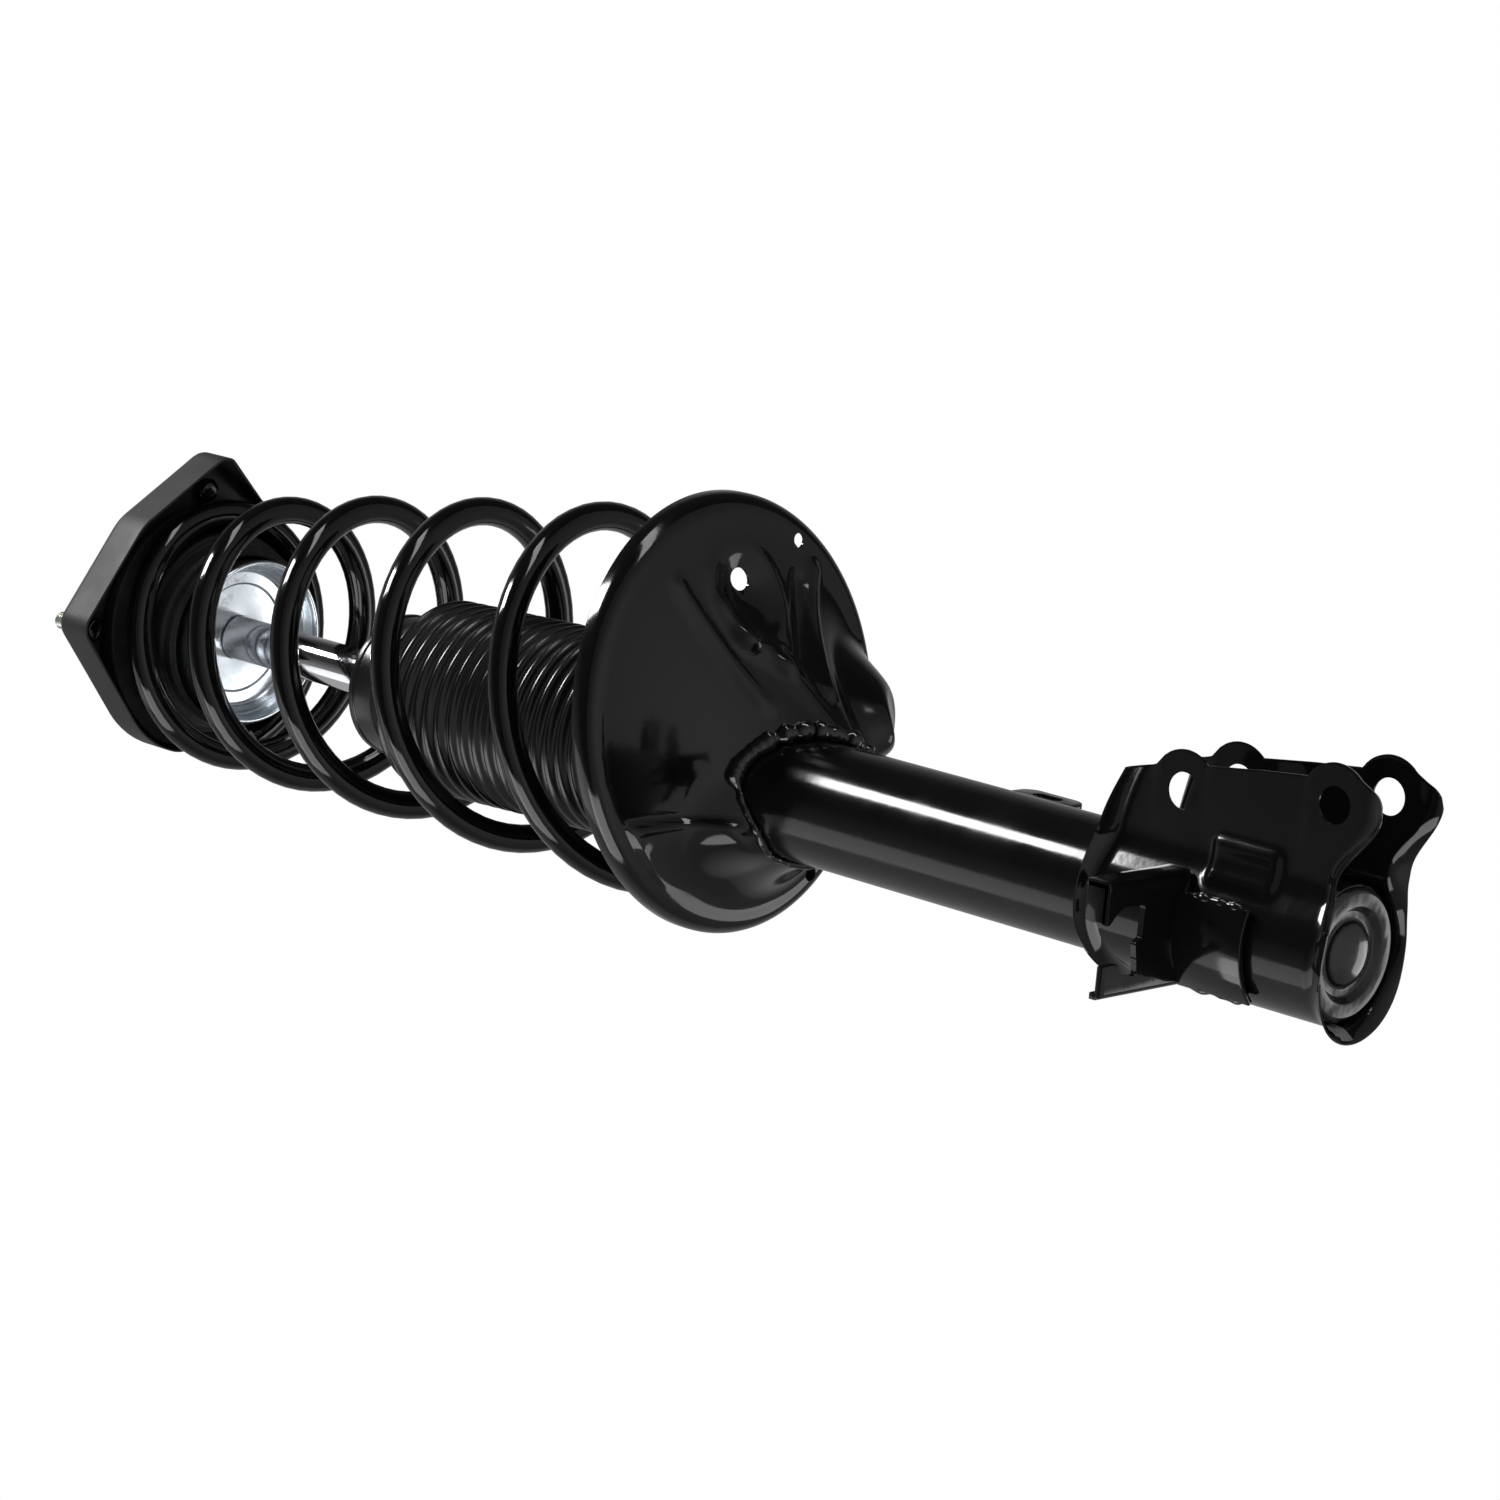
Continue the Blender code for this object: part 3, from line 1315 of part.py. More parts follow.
def dust_boot():
    """A ribbed sleeve that hangs a little askew, open at its lower end."""
    neck_bore = BUMP_RADIUS + GAP
    neck = neck_bore + BOOT_WALL
    bore = TUBE_RADIUS + BOOT_ROOM
    root_radius = bore + BOOT_WALL
    rib_radius = root_radius + BOOT_RIB_DEPTH
    profile = [
        (neck_bore, BOOT_NECK_TOP_Z),
        (neck - MM, BOOT_NECK_TOP_Z),
        (neck, BOOT_NECK_TOP_Z - MM),
        (neck, BOOT_SHOULDER_Z + 2 * BOOT_RIB_PITCH),
        (neck + 2 * MM, BOOT_SHOULDER_Z + BOOT_RIB_PITCH),
        (root_radius, BOOT_SHOULDER_Z + BOOT_RIB_PITCH / 4),
    ]
    crest = BOOT_RIB_PITCH * 0.35
    root = BOOT_RIB_PITCH * 0.85
    for rib in range(BOOT_RIB_COUNT):
        top = BOOT_SHOULDER_Z - rib * BOOT_RIB_PITCH
        profile.append((rib_radius, top - crest))
        profile.append((root_radius, top - root))
    last = BOOT_SHOULDER_Z - (BOOT_RIB_COUNT - 1) * BOOT_RIB_PITCH - root
    profile += [
        (bore, last),
        (bore, BOOT_SHOULDER_Z - BOOT_WALL),
        (neck_bore, BOOT_SHOULDER_Z + BOOT_RIB_PITCH / 2),
    ]
    boot = revolved(profile)
    for point in boot.verts:
        hang = max(0.0, BOOT_LEAN_START_Z - point.co.z)
        point.co.x += math.tan(BOOT_LEAN) * hang
    add_object("dust_boot", boot, black_rubber())


def main():
    clear_scene()
    mount_plate()
    mount_studs()
    mount_rubber()
    inner_sleeve()
    top_washer()
    rod_nut()
    upper_spring_pad()
    bump_cup()
    piston_rod()
    piston_group()
    coil_spring()
    strut_tube()
    striker_cap()
    pressure_tube(seal_and_guide())
    bottom_cap()
    lower_spring_seat()
    knuckle_bracket()
    hose_bracket()
    line_tab()
    bump_stop()
    dust_boot()


main()
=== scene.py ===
import json
import math
import bpy
from mathutils import Matrix, Vector, noise


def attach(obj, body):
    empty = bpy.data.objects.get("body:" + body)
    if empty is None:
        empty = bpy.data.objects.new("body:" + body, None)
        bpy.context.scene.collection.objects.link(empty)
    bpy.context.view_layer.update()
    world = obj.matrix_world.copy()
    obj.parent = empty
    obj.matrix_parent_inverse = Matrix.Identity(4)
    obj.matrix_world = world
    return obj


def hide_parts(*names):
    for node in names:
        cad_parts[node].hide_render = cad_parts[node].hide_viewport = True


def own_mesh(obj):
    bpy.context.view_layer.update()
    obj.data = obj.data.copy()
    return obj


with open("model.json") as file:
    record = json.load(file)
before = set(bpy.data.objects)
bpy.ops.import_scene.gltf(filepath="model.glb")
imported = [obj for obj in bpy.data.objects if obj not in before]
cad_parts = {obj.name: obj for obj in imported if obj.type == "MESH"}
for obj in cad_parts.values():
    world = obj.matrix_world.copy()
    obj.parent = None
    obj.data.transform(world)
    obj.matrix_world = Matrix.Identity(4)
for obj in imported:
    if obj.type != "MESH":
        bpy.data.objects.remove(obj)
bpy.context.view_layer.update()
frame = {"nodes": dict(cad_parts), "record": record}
nodes = frame["nodes"]
mm = 0.001


# camera: long lens from below, on the side of the hose bracket

cameraView = {
    "place": (0.38005, -1.31760, -1.57692),
    "right": (0.08679, 0.69088, -0.71774),
    "up": (0.97602, 0.08540, 0.20022),
    "lens": 108.0,
    "sensor": 36.0,
}


def addCamera():
    data = bpy.data.cameras.new("photoCamera")
    data.lens = cameraView["lens"]
    data.sensor_width = cameraView["sensor"]
    data.clip_end = 20.0
    camera = bpy.data.objects.new("photoCamera", data)
    bpy.context.collection.objects.link(camera)
    right = Vector(cameraView["right"]).normalized()
    up = Vector(cameraView["up"])
    back = right.cross(up).normalized()
    up = back.cross(right)
    turn = Matrix((right, up, back)).transposed().to_4x4()
    camera.matrix_world = Matrix.Translation(cameraView["place"]) @ turn
    bpy.context.scene.camera = camera
    return camera


camera = addCamera()
print("camera in place")


# room: pale floor, white backdrop, soft boxes placed as seen from the camera

room = {
    "floorZ": -1.9,
    "floorSize": 12.0,
    "floorShade": 0.8,
    "floorRoughness": 0.7,
    "ambient": 0.20,
    "glossDark": 0.03,  # what gloss sees of the unlit side of the studio
    "glossWhite": 0.38,
    "backdrop": (-0.35, -0.50, -0.79),  # where the white sweep is, in camera terms
    "backdropEdge": (0.10, 0.75),
    "middle": (0.02, 0.0, -0.33),
    "lamps": [
        # name, right, up and towards the camera from the middle, width, height, watts
        ("keyBox", (-1.23, 1.16, -0.06), 0.74, 0.38, 26.0),
        ("cupBox", (0.94, -0.29, -0.20), 0.42, 0.36, 0.9),
        ("lowBox", (-1.40, -0.86, 0.06), 1.30, 0.75, 2.6),
        ("rimBox", (-0.66, -1.22, 0.60), 1.50, 0.90, 12.0),
        ("topBox", (0.25, 1.50, 0.35), 1.10, 0.30, 5.0),
    ],
}


def inRoom(away):
    # from camera terms (right, up, towards the camera) to the scene's own axes
    return camera.matrix_world.to_3x3() @ Vector(away)


def feed(tree, socket, amount):
    # a number is set on the socket, anything else is linked to it
    if isinstance(amount, float):
        socket.default_value = amount
    else:
        tree.links.new(amount, socket)


def addMath(tree, operation, first, second):
    node = tree.nodes.new("ShaderNodeMath")
    node.operation = operation
    feed(tree, node.inputs[0], first)
    feed(tree, node.inputs[1], second)
    return node.outputs[0]


def addRange(tree, value, low, high, toLow, toHigh):
    node = tree.nodes.new("ShaderNodeMapRange")
    tree.links.new(value, node.inputs["Value"])
    limits = {"From Min": low, "From Max": high, "To Min": toLow, "To Max": toHigh}
    for label, amount in limits.items():
        feed(tree, node.inputs[label], amount)
    return node.outputs["Result"]


def addRoom():
    world = bpy.data.worlds.new("studioWorld")
    bpy.context.scene.world = world
    world.use_nodes = True
    tree = world.node_tree
    sky = tree.nodes["Background"]
    sky.inputs["Color"].default_value = (1.0, 1.0, 1.0, 1.0)
    rays = tree.nodes.new("ShaderNodeLightPath").outputs
    aim = tree.nodes.new("ShaderNodeVectorMath")
    aim.operation = "DOT_PRODUCT"
    aim.inputs[1].default_value = inRoom(room["backdrop"]).normalized()
    tree.links.new(tree.nodes.new("ShaderNodeTexCoord").outputs["Generated"], aim.inputs[0])
    low, high = room["backdropEdge"]
    sweep = addRange(tree, aim.outputs["Value"], low, high, room["glossDark"], room["glossWhite"])
    plain = addMath(tree, "SUBTRACT", 1.0, rays["Is Glossy Ray"])
    plain = addMath(tree, "MULTIPLY", plain, room["ambient"])
    gloss = addMath(tree, "MULTIPLY", sweep, rays["Is Glossy Ray"])
    seen = addMath(tree, "MAXIMUM", rays["Is Camera Ray"], rays["Is Transmission Ray"])
    level = addMath(tree, "MAXIMUM", seen, addMath(tree, "ADD", plain, gloss))
    tree.links.new(level, sky.inputs["Strength"])

    bpy.ops.object.select_all(action="DESELECT")
    bpy.ops.mesh.primitive_plane_add(size=room["floorSize"], location=(0.0, 0.0, room["floorZ"]))
    floor = bpy.context.object
    floor.name = "studioFloor"
    skin = bpy.data.materials.new("paleFloor")
    skin.use_nodes = True
    shader = skin.node_tree.nodes["Principled BSDF"]
    shader.inputs["Base Color"].default_value = (*[room["floorShade"]] * 3, 1.0)
    shader.inputs["Roughness"].default_value = room["floorRoughness"]
    floor.data.materials.append(skin)

    middle = Vector(room["middle"])
    for name, away, width, height, watts in room["lamps"]:
        lampData = bpy.data.lights.new(name, "AREA")
        lampData.energy = watts
        lampData.shape = "RECTANGLE"
        lampData.size = width
        lampData.size_y = height
        lamp = bpy.data.objects.new(name, lampData)
        bpy.context.collection.objects.link(lamp)
        place = middle + inRoom(away)
        back = (place - middle).normalized()
        upright = Vector((0.0, 0.0, 1.0))  # a lamp's long side runs along the strut
        across = (upright - back * upright.dot(back)).normalized()
        up = back.cross(across)
        turn = Matrix((across, up, back)).transposed().to_4x4()
        lamp.matrix_world = Matrix.Translation(place) @ turn
    bpy.context.scene.view_settings.view_transform = "Standard"


addRoom()
print("room lit")


# shared effects: each is one node group with its own values in every finish


def newGroup(name, inputs):
    # inputs in order: a number makes a value, three numbers a colour
    group = bpy.data.node_groups.new(name, "ShaderNodeTree")
    for label, value in inputs.items():
        plain = isinstance(value, float)
        kind = "NodeSocketFloat" if plain else "NodeSocketColor"
        socket = group.interface.new_socket(label, in_out="INPUT", socket_type=kind)
        socket.default_value = value if plain else (*value, 1.0)
    return group, group.nodes.new("NodeGroupInput").outputs


def closeGroup(group, colour, rough, height):
    kinds = ("NodeSocketColor", "NodeSocketFloat", "NodeSocketFloat")
    for label, kind in zip(("Color", "Roughness", "Height"), kinds):
        group.interface.new_socket(label, in_out="OUTPUT", socket_type=kind)
    out = group.nodes.new("NodeGroupOutput")
    for index, result in enumerate((colour, rough, height)):
        group.links.new(result, out.inputs[index])
    return group


def addNoise(tree, vector, scale, detail):
    node = tree.nodes.new("ShaderNodeTexNoise")
    node.inputs["Detail"].default_value = detail
    node.inputs["Roughness"].default_value = 0.55
    tree.links.new(vector, node.inputs["Vector"])
    feed(tree, node.inputs["Scale"], scale)
    return node.outputs["Fac"]


def addMix(tree, share, first, second):
    node = tree.nodes.new("ShaderNodeMix")
    node.data_type = "RGBA"
    tree.links.new(share, node.inputs[0])
    tree.links.new(first, node.inputs[6])
    tree.links.new(second, node.inputs[7])
    return node.outputs[2]


def objectPlace(tree, stretch=None):
    coordinates = tree.nodes.new("ShaderNodeTexCoord").outputs["Object"]
    if stretch is None:
        return coordinates
    mapping = tree.nodes.new("ShaderNodeMapping")
    mapping.inputs["Scale"].default_value = stretch
    tree.links.new(coordinates, mapping.inputs["Vector"])
    return mapping.outputs["Vector"]


def makePaintFlow():
    # a sprayed coat: cloudy sheen, orange peel and settled dust
    group, given = newGroup("paintFlow", {
        "Coat Color": (0.01, 0.01, 0.01), "Dust Color": (0.3, 0.3, 0.3), "Dust": 0.1,
        "Sheen Low": 0.1, "Sheen High": 0.3, "Peel Scale": 700.0,
    })
    spot = objectPlace(group)
    cloud = addNoise(group, spot, 38.0, 3.0)
    speck = addNoise(group, spot, 900.0, 2.0)
    peel = addNoise(group, spot, given["Peel Scale"], 1.0)
    flow = addNoise(group, spot, 90.0, 2.0)
    dusty = addRange(group, speck, 0.66, 0.78, 0.0, 1.0)
    dusty = addMath(group, "MULTIPLY", dusty, given["Dust"])
    hazy = addRange(group, cloud, 0.4, 0.75, 0.0, 0.25)
    hazy = addMath(group, "MULTIPLY", hazy, given["Dust"])
    share = addMath(group, "MAXIMUM", dusty, hazy)
    colour = addMix(group, share, given["Coat Color"], given["Dust Color"])
    sheen = addRange(group, cloud, 0.3, 0.75, given["Sheen Low"], given["Sheen High"])
    sheen = addMath(group, "ADD", sheen, addMath(group, "MULTIPLY", share, 0.4))
    height = addMath(group, "ADD", peel, addMath(group, "MULTIPLY", flow, 2.0))
    return closeGroup(group, colour, sheen, height)


def makeRubberGrain():
    # moulded rubber: fine grain and grey bloom
    group, given = newGroup("rubberGrain", {
        "Rubber Color": (0.02, 0.02, 0.02), "Bloom Color": (0.06, 0.06, 0.06), "Bloom": 0.5,
        "Roughness Low": 0.5, "Roughness High": 0.7, "Grain Scale": 1400.0,
    })
    spot = objectPlace(group)
    grain = group.nodes.new("ShaderNodeTexVoronoi")
    group.links.new(spot, grain.inputs["Vector"])
    group.links.new(given["Grain Scale"], grain.inputs["Scale"])
    cloud = addNoise(group, spot, 55.0, 5.0)
    fine = addNoise(group, spot, 600.0, 3.0)
    bloom = addRange(group, cloud, 0.42, 0.72, 0.0, 1.0)
    bloom = addMath(group, "MULTIPLY", bloom, given["Bloom"])
    colour = addMix(group, bloom, given["Rubber Color"], given["Bloom Color"])
    rough = addRange(group, fine, 0.3, 0.7, given["Roughness Low"], given["Roughness High"])
    height = addMath(group, "ADD", grain.outputs["Distance"], fine)
    return closeGroup(group, colour, rough, height)


def makePlating():
    # plated or bare metal: two tints, fine scratches that run round the piece
    group, given = newGroup("plating", {
        "Tint": (0.6, 0.6, 0.6), "Second Tint": (0.8, 0.8, 0.8), "Tint Scale": 30.0,
        "Roughness Low": 0.1, "Roughness High": 0.3, "Ring Scale": 900.0,
    })
    spot = objectPlace(group)
    rings = addNoise(group, objectPlace(group, (0.06, 0.06, 1.0)), given["Ring Scale"], 3.0)
    cloud = addNoise(group, spot, given["Tint Scale"], 3.0)
    fine = addNoise(group, spot, 500.0, 4.0)
    share = addRange(group, cloud, 0.35, 0.68, 0.0, 1.0)
    colour = addMix(group, share, given["Tint"], given["Second Tint"])
    both = addMath(group, "MULTIPLY", rings, fine)
    rough = addRange(group, both, 0.12, 0.4, given["Roughness Low"], given["Roughness High"])
    return closeGroup(group, colour, rough, rings)


effects = {"paint": makePaintFlow(), "rubber": makeRubberGrain(), "metal": makePlating()}


# finishes: effect, its inputs in order, bump strength and depth, and the shader's plain values

shine = "Specular IOR Level"
finishes = {
    # paint: coat, dust, dust share, sheen low and high, peel scale
    # rubber: rubber, bloom, bloom share, roughness low and high, grain scale
    # metal: tint, second tint, tint scale, roughness low and high, ring scale
    "glossBlack": (
        "paint", ((0.0035, 0.0035, 0.004), (0.06, 0.06, 0.064), 0.06, 0.06, 0.14, 420.0),
        0.05, 0.0002, {shine: 0.5},
    ),
    "springBlack": (
        "paint", ((0.003, 0.003, 0.0036), (0.05, 0.05, 0.054), 0.05, 0.05, 0.12, 360.0),
        0.05, 0.0002, {shine: 0.5},
    ),
    "tubeBlack": (
        "paint", ((0.0035, 0.0035, 0.004), (0.06, 0.06, 0.064), 0.05, 0.1, 0.18, 360.0),
        0.06, 0.0002, {shine: 0.5},
    ),
    "capBlack": (
        "paint", ((0.005, 0.005, 0.0055), (0.14, 0.13, 0.12), 0.12, 0.12, 0.3, 140.0),
        0.3, 0.0006, {shine: 0.5, "Coat Weight": 0.4, "Coat Roughness": 0.08},
    ),
    "satinBlack": (
        "paint", ((0.016, 0.0165, 0.017), (0.08, 0.08, 0.08), 0.25, 0.48, 0.6, 900.0),
        0.22, 0.0002, {shine: 0.42},
    ),
    "weldBlack": (
        "paint", ((0.006, 0.006, 0.0065), (0.12, 0.12, 0.12), 0.06, 0.04, 0.12, 260.0),
        0.2, 0.0004, {shine: 0.7},
    ),
    # lighter metal for the near ear's cut edge: partly bare steel, partly a painted highlight of
    # the lit edge
    "cutEdgeAndHighlight": (
        "metal", ((0.34, 0.34, 0.35), (0.2, 0.2, 0.21), 120.0, 0.4, 0.6, 500.0),
        0.5, 0.0004, {"Metallic": 0.3},
    ),
    "padRubber": (
        "rubber", ((0.01, 0.01, 0.01), (0.03, 0.03, 0.031), 0.7, 0.5, 0.68, 1300.0),
        0.35, 0.0002, {shine: 0.3},
    ),
    "bootRubber": (
        "rubber", ((0.005, 0.005, 0.0055), (0.013, 0.013, 0.014), 0.5, 0.2, 0.26, 500.0),
        0.02, 0.0002, {shine: 0.6},
    ),
    "stopRubber": (
        "rubber", ((0.005, 0.005, 0.0055), (0.014, 0.014, 0.014), 0.6, 0.42, 0.52, 900.0),
        0.12, 0.0003, {shine: 0.4},
    ),
    "zincCup": (
        "metal", ((0.84, 0.88, 0.92), (0.76, 0.82, 0.88), 14.0, 0.16, 0.26, 1400.0),
        0.02, 0.0001, {"Metallic": 1.0},
    ),
    "zincStud": (
        "metal", ((0.6, 0.64, 0.52), (0.5, 0.57, 0.6), 160.0, 0.22, 0.4, 900.0),
        0.15, 0.0002, {"Metallic": 1.0},
    ),
    "hardChrome": (
        "metal", ((0.86, 0.87, 0.9), (0.8, 0.8, 0.82), 20.0, 0.04, 0.12, 2500.0),
        0.03, 0.0001, {"Metallic": 1.0},
    ),
    "bareSteel": (
        "metal", ((0.52, 0.52, 0.53), (0.42, 0.42, 0.44), 60.0, 0.26, 0.44, 1500.0),
        0.12, 0.0002, {"Metallic": 1.0},
    ),
    "sinteredIron": (
        "metal", ((0.3, 0.3, 0.31), (0.2, 0.2, 0.21), 420.0, 0.45, 0.65, 700.0),
        0.35, 0.0003, {"Metallic": 1.0},
    ),
    "pistonBand": (
        "rubber", ((0.045, 0.028, 0.018), (0.075, 0.05, 0.035), 0.6, 0.35, 0.5, 2200.0),
        0.15, 0.0001, {shine: 0.4},
    ),
}


def makeFinish(name):
    effect, values, strength, depth, plain = finishes[name]
    skin = bpy.data.materials.new(name)
    skin.use_nodes = True
    tree = skin.node_tree
    shader = tree.nodes["Principled BSDF"]
    group = tree.nodes.new("ShaderNodeGroup")
    group.node_tree = effects[effect]
    for socket, value in zip(group.inputs, values):
        socket.default_value = value if isinstance(value, float) else (*value, 1.0)
    bump = tree.nodes.new("ShaderNodeBump")
    bump.inputs["Strength"].default_value = strength
    bump.inputs["Distance"].default_value = depth
    tree.links.new(group.outputs["Color"], shader.inputs["Base Color"])
    tree.links.new(group.outputs["Roughness"], shader.inputs["Roughness"])
    tree.links.new(group.outputs["Height"], bump.inputs["Height"])
    tree.links.new(bump.outputs["Normal"], shader.inputs["Normal"])
    for label, value in plain.items():
        shader.inputs[label].default_value = value
    return skin


skins = {name: makeFinish(name) for name in finishes}
slotSkins = {
    "gloss_coat": "glossBlack",
    "satin_coat": "satinBlack",
    "rubber": "padRubber",
    "zinc": "zincStud",
    "chrome": "hardChrome",
    "steel": "bareSteel",
    "sintered_iron": "sinteredIron",
    "piston_band": "pistonBand",
}
for part in frame["record"]["subparts"]:
    node = nodes[part["node"]]
    node.data.materials.clear()
    node.data.materials.append(skins[slotSkins[part["material_slot"]]])
print("finishes made")


# ways of making a piece


def deselect():
    bpy.ops.object.select_all(action="DESELECT")


def added(name, add, **values):
    deselect()
    add(**values)
    bpy.context.object.name = name
    return bpy.context.object


def take(piece):
    deselect()
    piece.select_set(True)
    bpy.context.view_layer.objects.active = piece


def openEdit(piece):
    # edit mode with the whole piece selected
    take(piece)
    bpy.ops.object.mode_set(mode="EDIT")
    bpy.ops.mesh.select_all(action="SELECT")


def closeEdit():
    bpy.ops.object.mode_set(mode="OBJECT")


def addModifier(piece, kind, **values):
    modifier = piece.modifiers.new(kind.lower(), kind)
    for label, value in values.items():
        setattr(modifier, label, value)
    take(piece)
    bpy.ops.object.modifier_apply(modifier=modifier.name)


def combine(piece, tool, operation="DIFFERENCE"):
    addModifier(piece, "BOOLEAN", object=tool, operation=operation, solver="EXACT")
    bpy.data.objects.remove(tool)


def joinPieces(pieces):
    deselect()
    for piece in pieces:
        piece.select_set(True)
    bpy.context.view_layer.objects.active = pieces[0]
    bpy.ops.object.join()
    return pieces[0]


def onCircle(radius, angle):
    return radius * math.cos(angle), radius * math.sin(angle)


def slope(degrees):
    return math.tan(math.radians(degrees))


def limited(share):
    return min(max(share, 0.0), 1.0)


def smoothStep(share):
    share = limited(share)
    return share * share * (3.0 - 2.0 * share)


def smoothBetween(limits, value):
    low, high = limits
    return smoothStep((value - low) / (high - low))


def along(stops, value):
    # straight line through a few (place, amount) stops
    if value <= stops[0][0]:
        return stops[0][1]
    for (low, first), (high, second) in zip(stops, stops[1:]):
        if value <= high:
            return first + (second - first) * (value - low) / (high - low)
    return stops[-1][1]


def softened(points, closed=True, steps=4):
    # points are (x, y, rounding); the result is the outline with each corner rounded
    outline = []
    count = len(points)
    for index, (x, y, rounding) in enumerate(points):
        here = Vector((x, y))
        if rounding == 0.0 or (not closed and index in (0, count - 1)):
            outline.append((x, y))
            continue
        into = here - Vector(points[index - 1][:2])
        out = Vector(points[(index + 1) % count][:2]) - here
        room = 0.49 * min(into.length, out.length)
        into.normalize()
        out.normalize()
        turn = math.atan2(into.x * out.y - into.y * out.x, into.dot(out))
        reach = abs(math.tan(turn / 2.0))
        if reach < 1e-3:
            outline.append((x, y))
            continue
        radius = min(rounding, room / reach)
        side = math.copysign(1.0, turn)
        start = here - into * radius * reach
        centre = start + Vector((-into.y, into.x)) * radius * side
        spoke = start - centre
        for step in range(steps + 1):
            angle = turn * step / steps
            turnedX = spoke.x * math.cos(angle) - spoke.y * math.sin(angle)
            turnedY = spoke.x * math.sin(angle) + spoke.y * math.cos(angle)
            outline.append((centre.x + turnedX, centre.y + turnedY))
    return outline


def closeUp(piece):
    # seams and poles closed, faces outwards
    openEdit(piece)
    bpy.ops.mesh.remove_doubles(threshold=0.004 * mm)
    bpy.ops.mesh.normals_make_consistent(inside=False)
    closeEdit()


def turned(name, profile, sides=128):
    # profile in mm as (radius, height); a ring's profile ends where it starts
    piece = added(name, bpy.ops.mesh.primitive_plane_add, size=0.01)
    openEdit(piece)
    bpy.ops.mesh.merge(type="CENTER")
    bpy.ops.transform.translate(value=(profile[0][0] * mm, 0.0, profile[0][1] * mm))
    for (r0, z0), (r1, z1) in zip(profile, profile[1:]):
        step = ((r1 - r0) * mm, 0.0, (z1 - z0) * mm)
        bpy.ops.mesh.extrude_vertices_move(TRANSFORM_OT_translate={"value": step})
    bpy.ops.mesh.select_all(action="SELECT")
    bpy.ops.mesh.spin(steps=sides, angle=math.tau, center=(0.0, 0.0, 0.0), axis=(0.0, 0.0, 1.0))
    closeEdit()
    closeUp(piece)
    return piece


def turnedRing(name, points, steps, sides):
    profile = softened(points, True, steps)
    return turned(name, profile + profile[:1], sides)


def shapedGrid(name, columns, rows, place):
    # a grid whose points are moved one by one: place gives mm for a column and a row
    piece = added(
        name, bpy.ops.mesh.primitive_grid_add, x_subdivisions=columns, y_subdivisions=rows,
        size=2.0,
    )
    for point in piece.data.vertices:
        column = round((point.co.x + 1.0) / 2.0 * columns)
        row = round((point.co.y + 1.0) / 2.0 * rows)
        point.co = Vector(place(column, row)) * mm
    closeUp(piece)
    return piece


def cutPlate(name, outline, low, high):
    # a flat plate between two heights, from an outline in mm
    piece = added(
        name, bpy.ops.mesh.primitive_circle_add, vertices=len(outline), radius=1.0,
        fill_type="NGON",
    )
    for point, (x, y) in zip(piece.data.vertices, outline):
        point.co = (x * mm, y * mm, low * mm)
    openEdit(piece)
    lift = {"value": (0.0, 0.0, (high - low) * mm)}
    bpy.ops.mesh.extrude_region_move(TRANSFORM_OT_translate=lift)
    closeEdit()
    closeUp(piece)
    return piece


def turnAxes(piece, axes):
    # each of the new x, y and z takes one of the old ones
    for point in piece.data.vertices:
        point.co = tuple(point.co[axis] for axis in axes)
    closeUp(piece)


def moved(piece, x, y, z=0.0):
    openEdit(piece)
    bpy.ops.transform.translate(value=(x * mm, y * mm, z * mm))
    closeEdit()
    return piece


def thicken(piece, sheet, offset, clamp, upwards):
    # an open sheet faces up or down, then gets its wall
    face = (max if upwards else min)(piece.data.polygons, key=lambda one: one.center.z)
    if offset and (face.normal.z > 0.0) != upwards:
        openEdit(piece)
        bpy.ops.mesh.flip_normals()
        closeEdit()
    addModifier(
        piece, "SOLIDIFY", thickness=sheet * mm, offset=offset, use_even_offset=True,
        thickness_clamp=clamp,
    )


def softEdges(piece, width, segments=2, angle=40.0):
    addModifier(
        piece, "BEVEL", width=width * mm, segments=segments, limit_method="ANGLE",
        angle_limit=math.radians(angle), use_clamp_overlap=True,
    )


def finishPiece(piece, body, skin, stands=(), angle=35.0):
    take(piece)
    bpy.ops.object.shade_smooth_by_angle(angle=math.radians(angle))
    if skin:
        piece.data.materials.clear()
        piece.data.materials.append(skins[skin])
    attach(piece, body)
    if stands:
        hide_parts(*stands)
    print("made", piece.name, len(piece.data.polygons), "faces")


# coil spring: opens out from the mount to the tilted pan

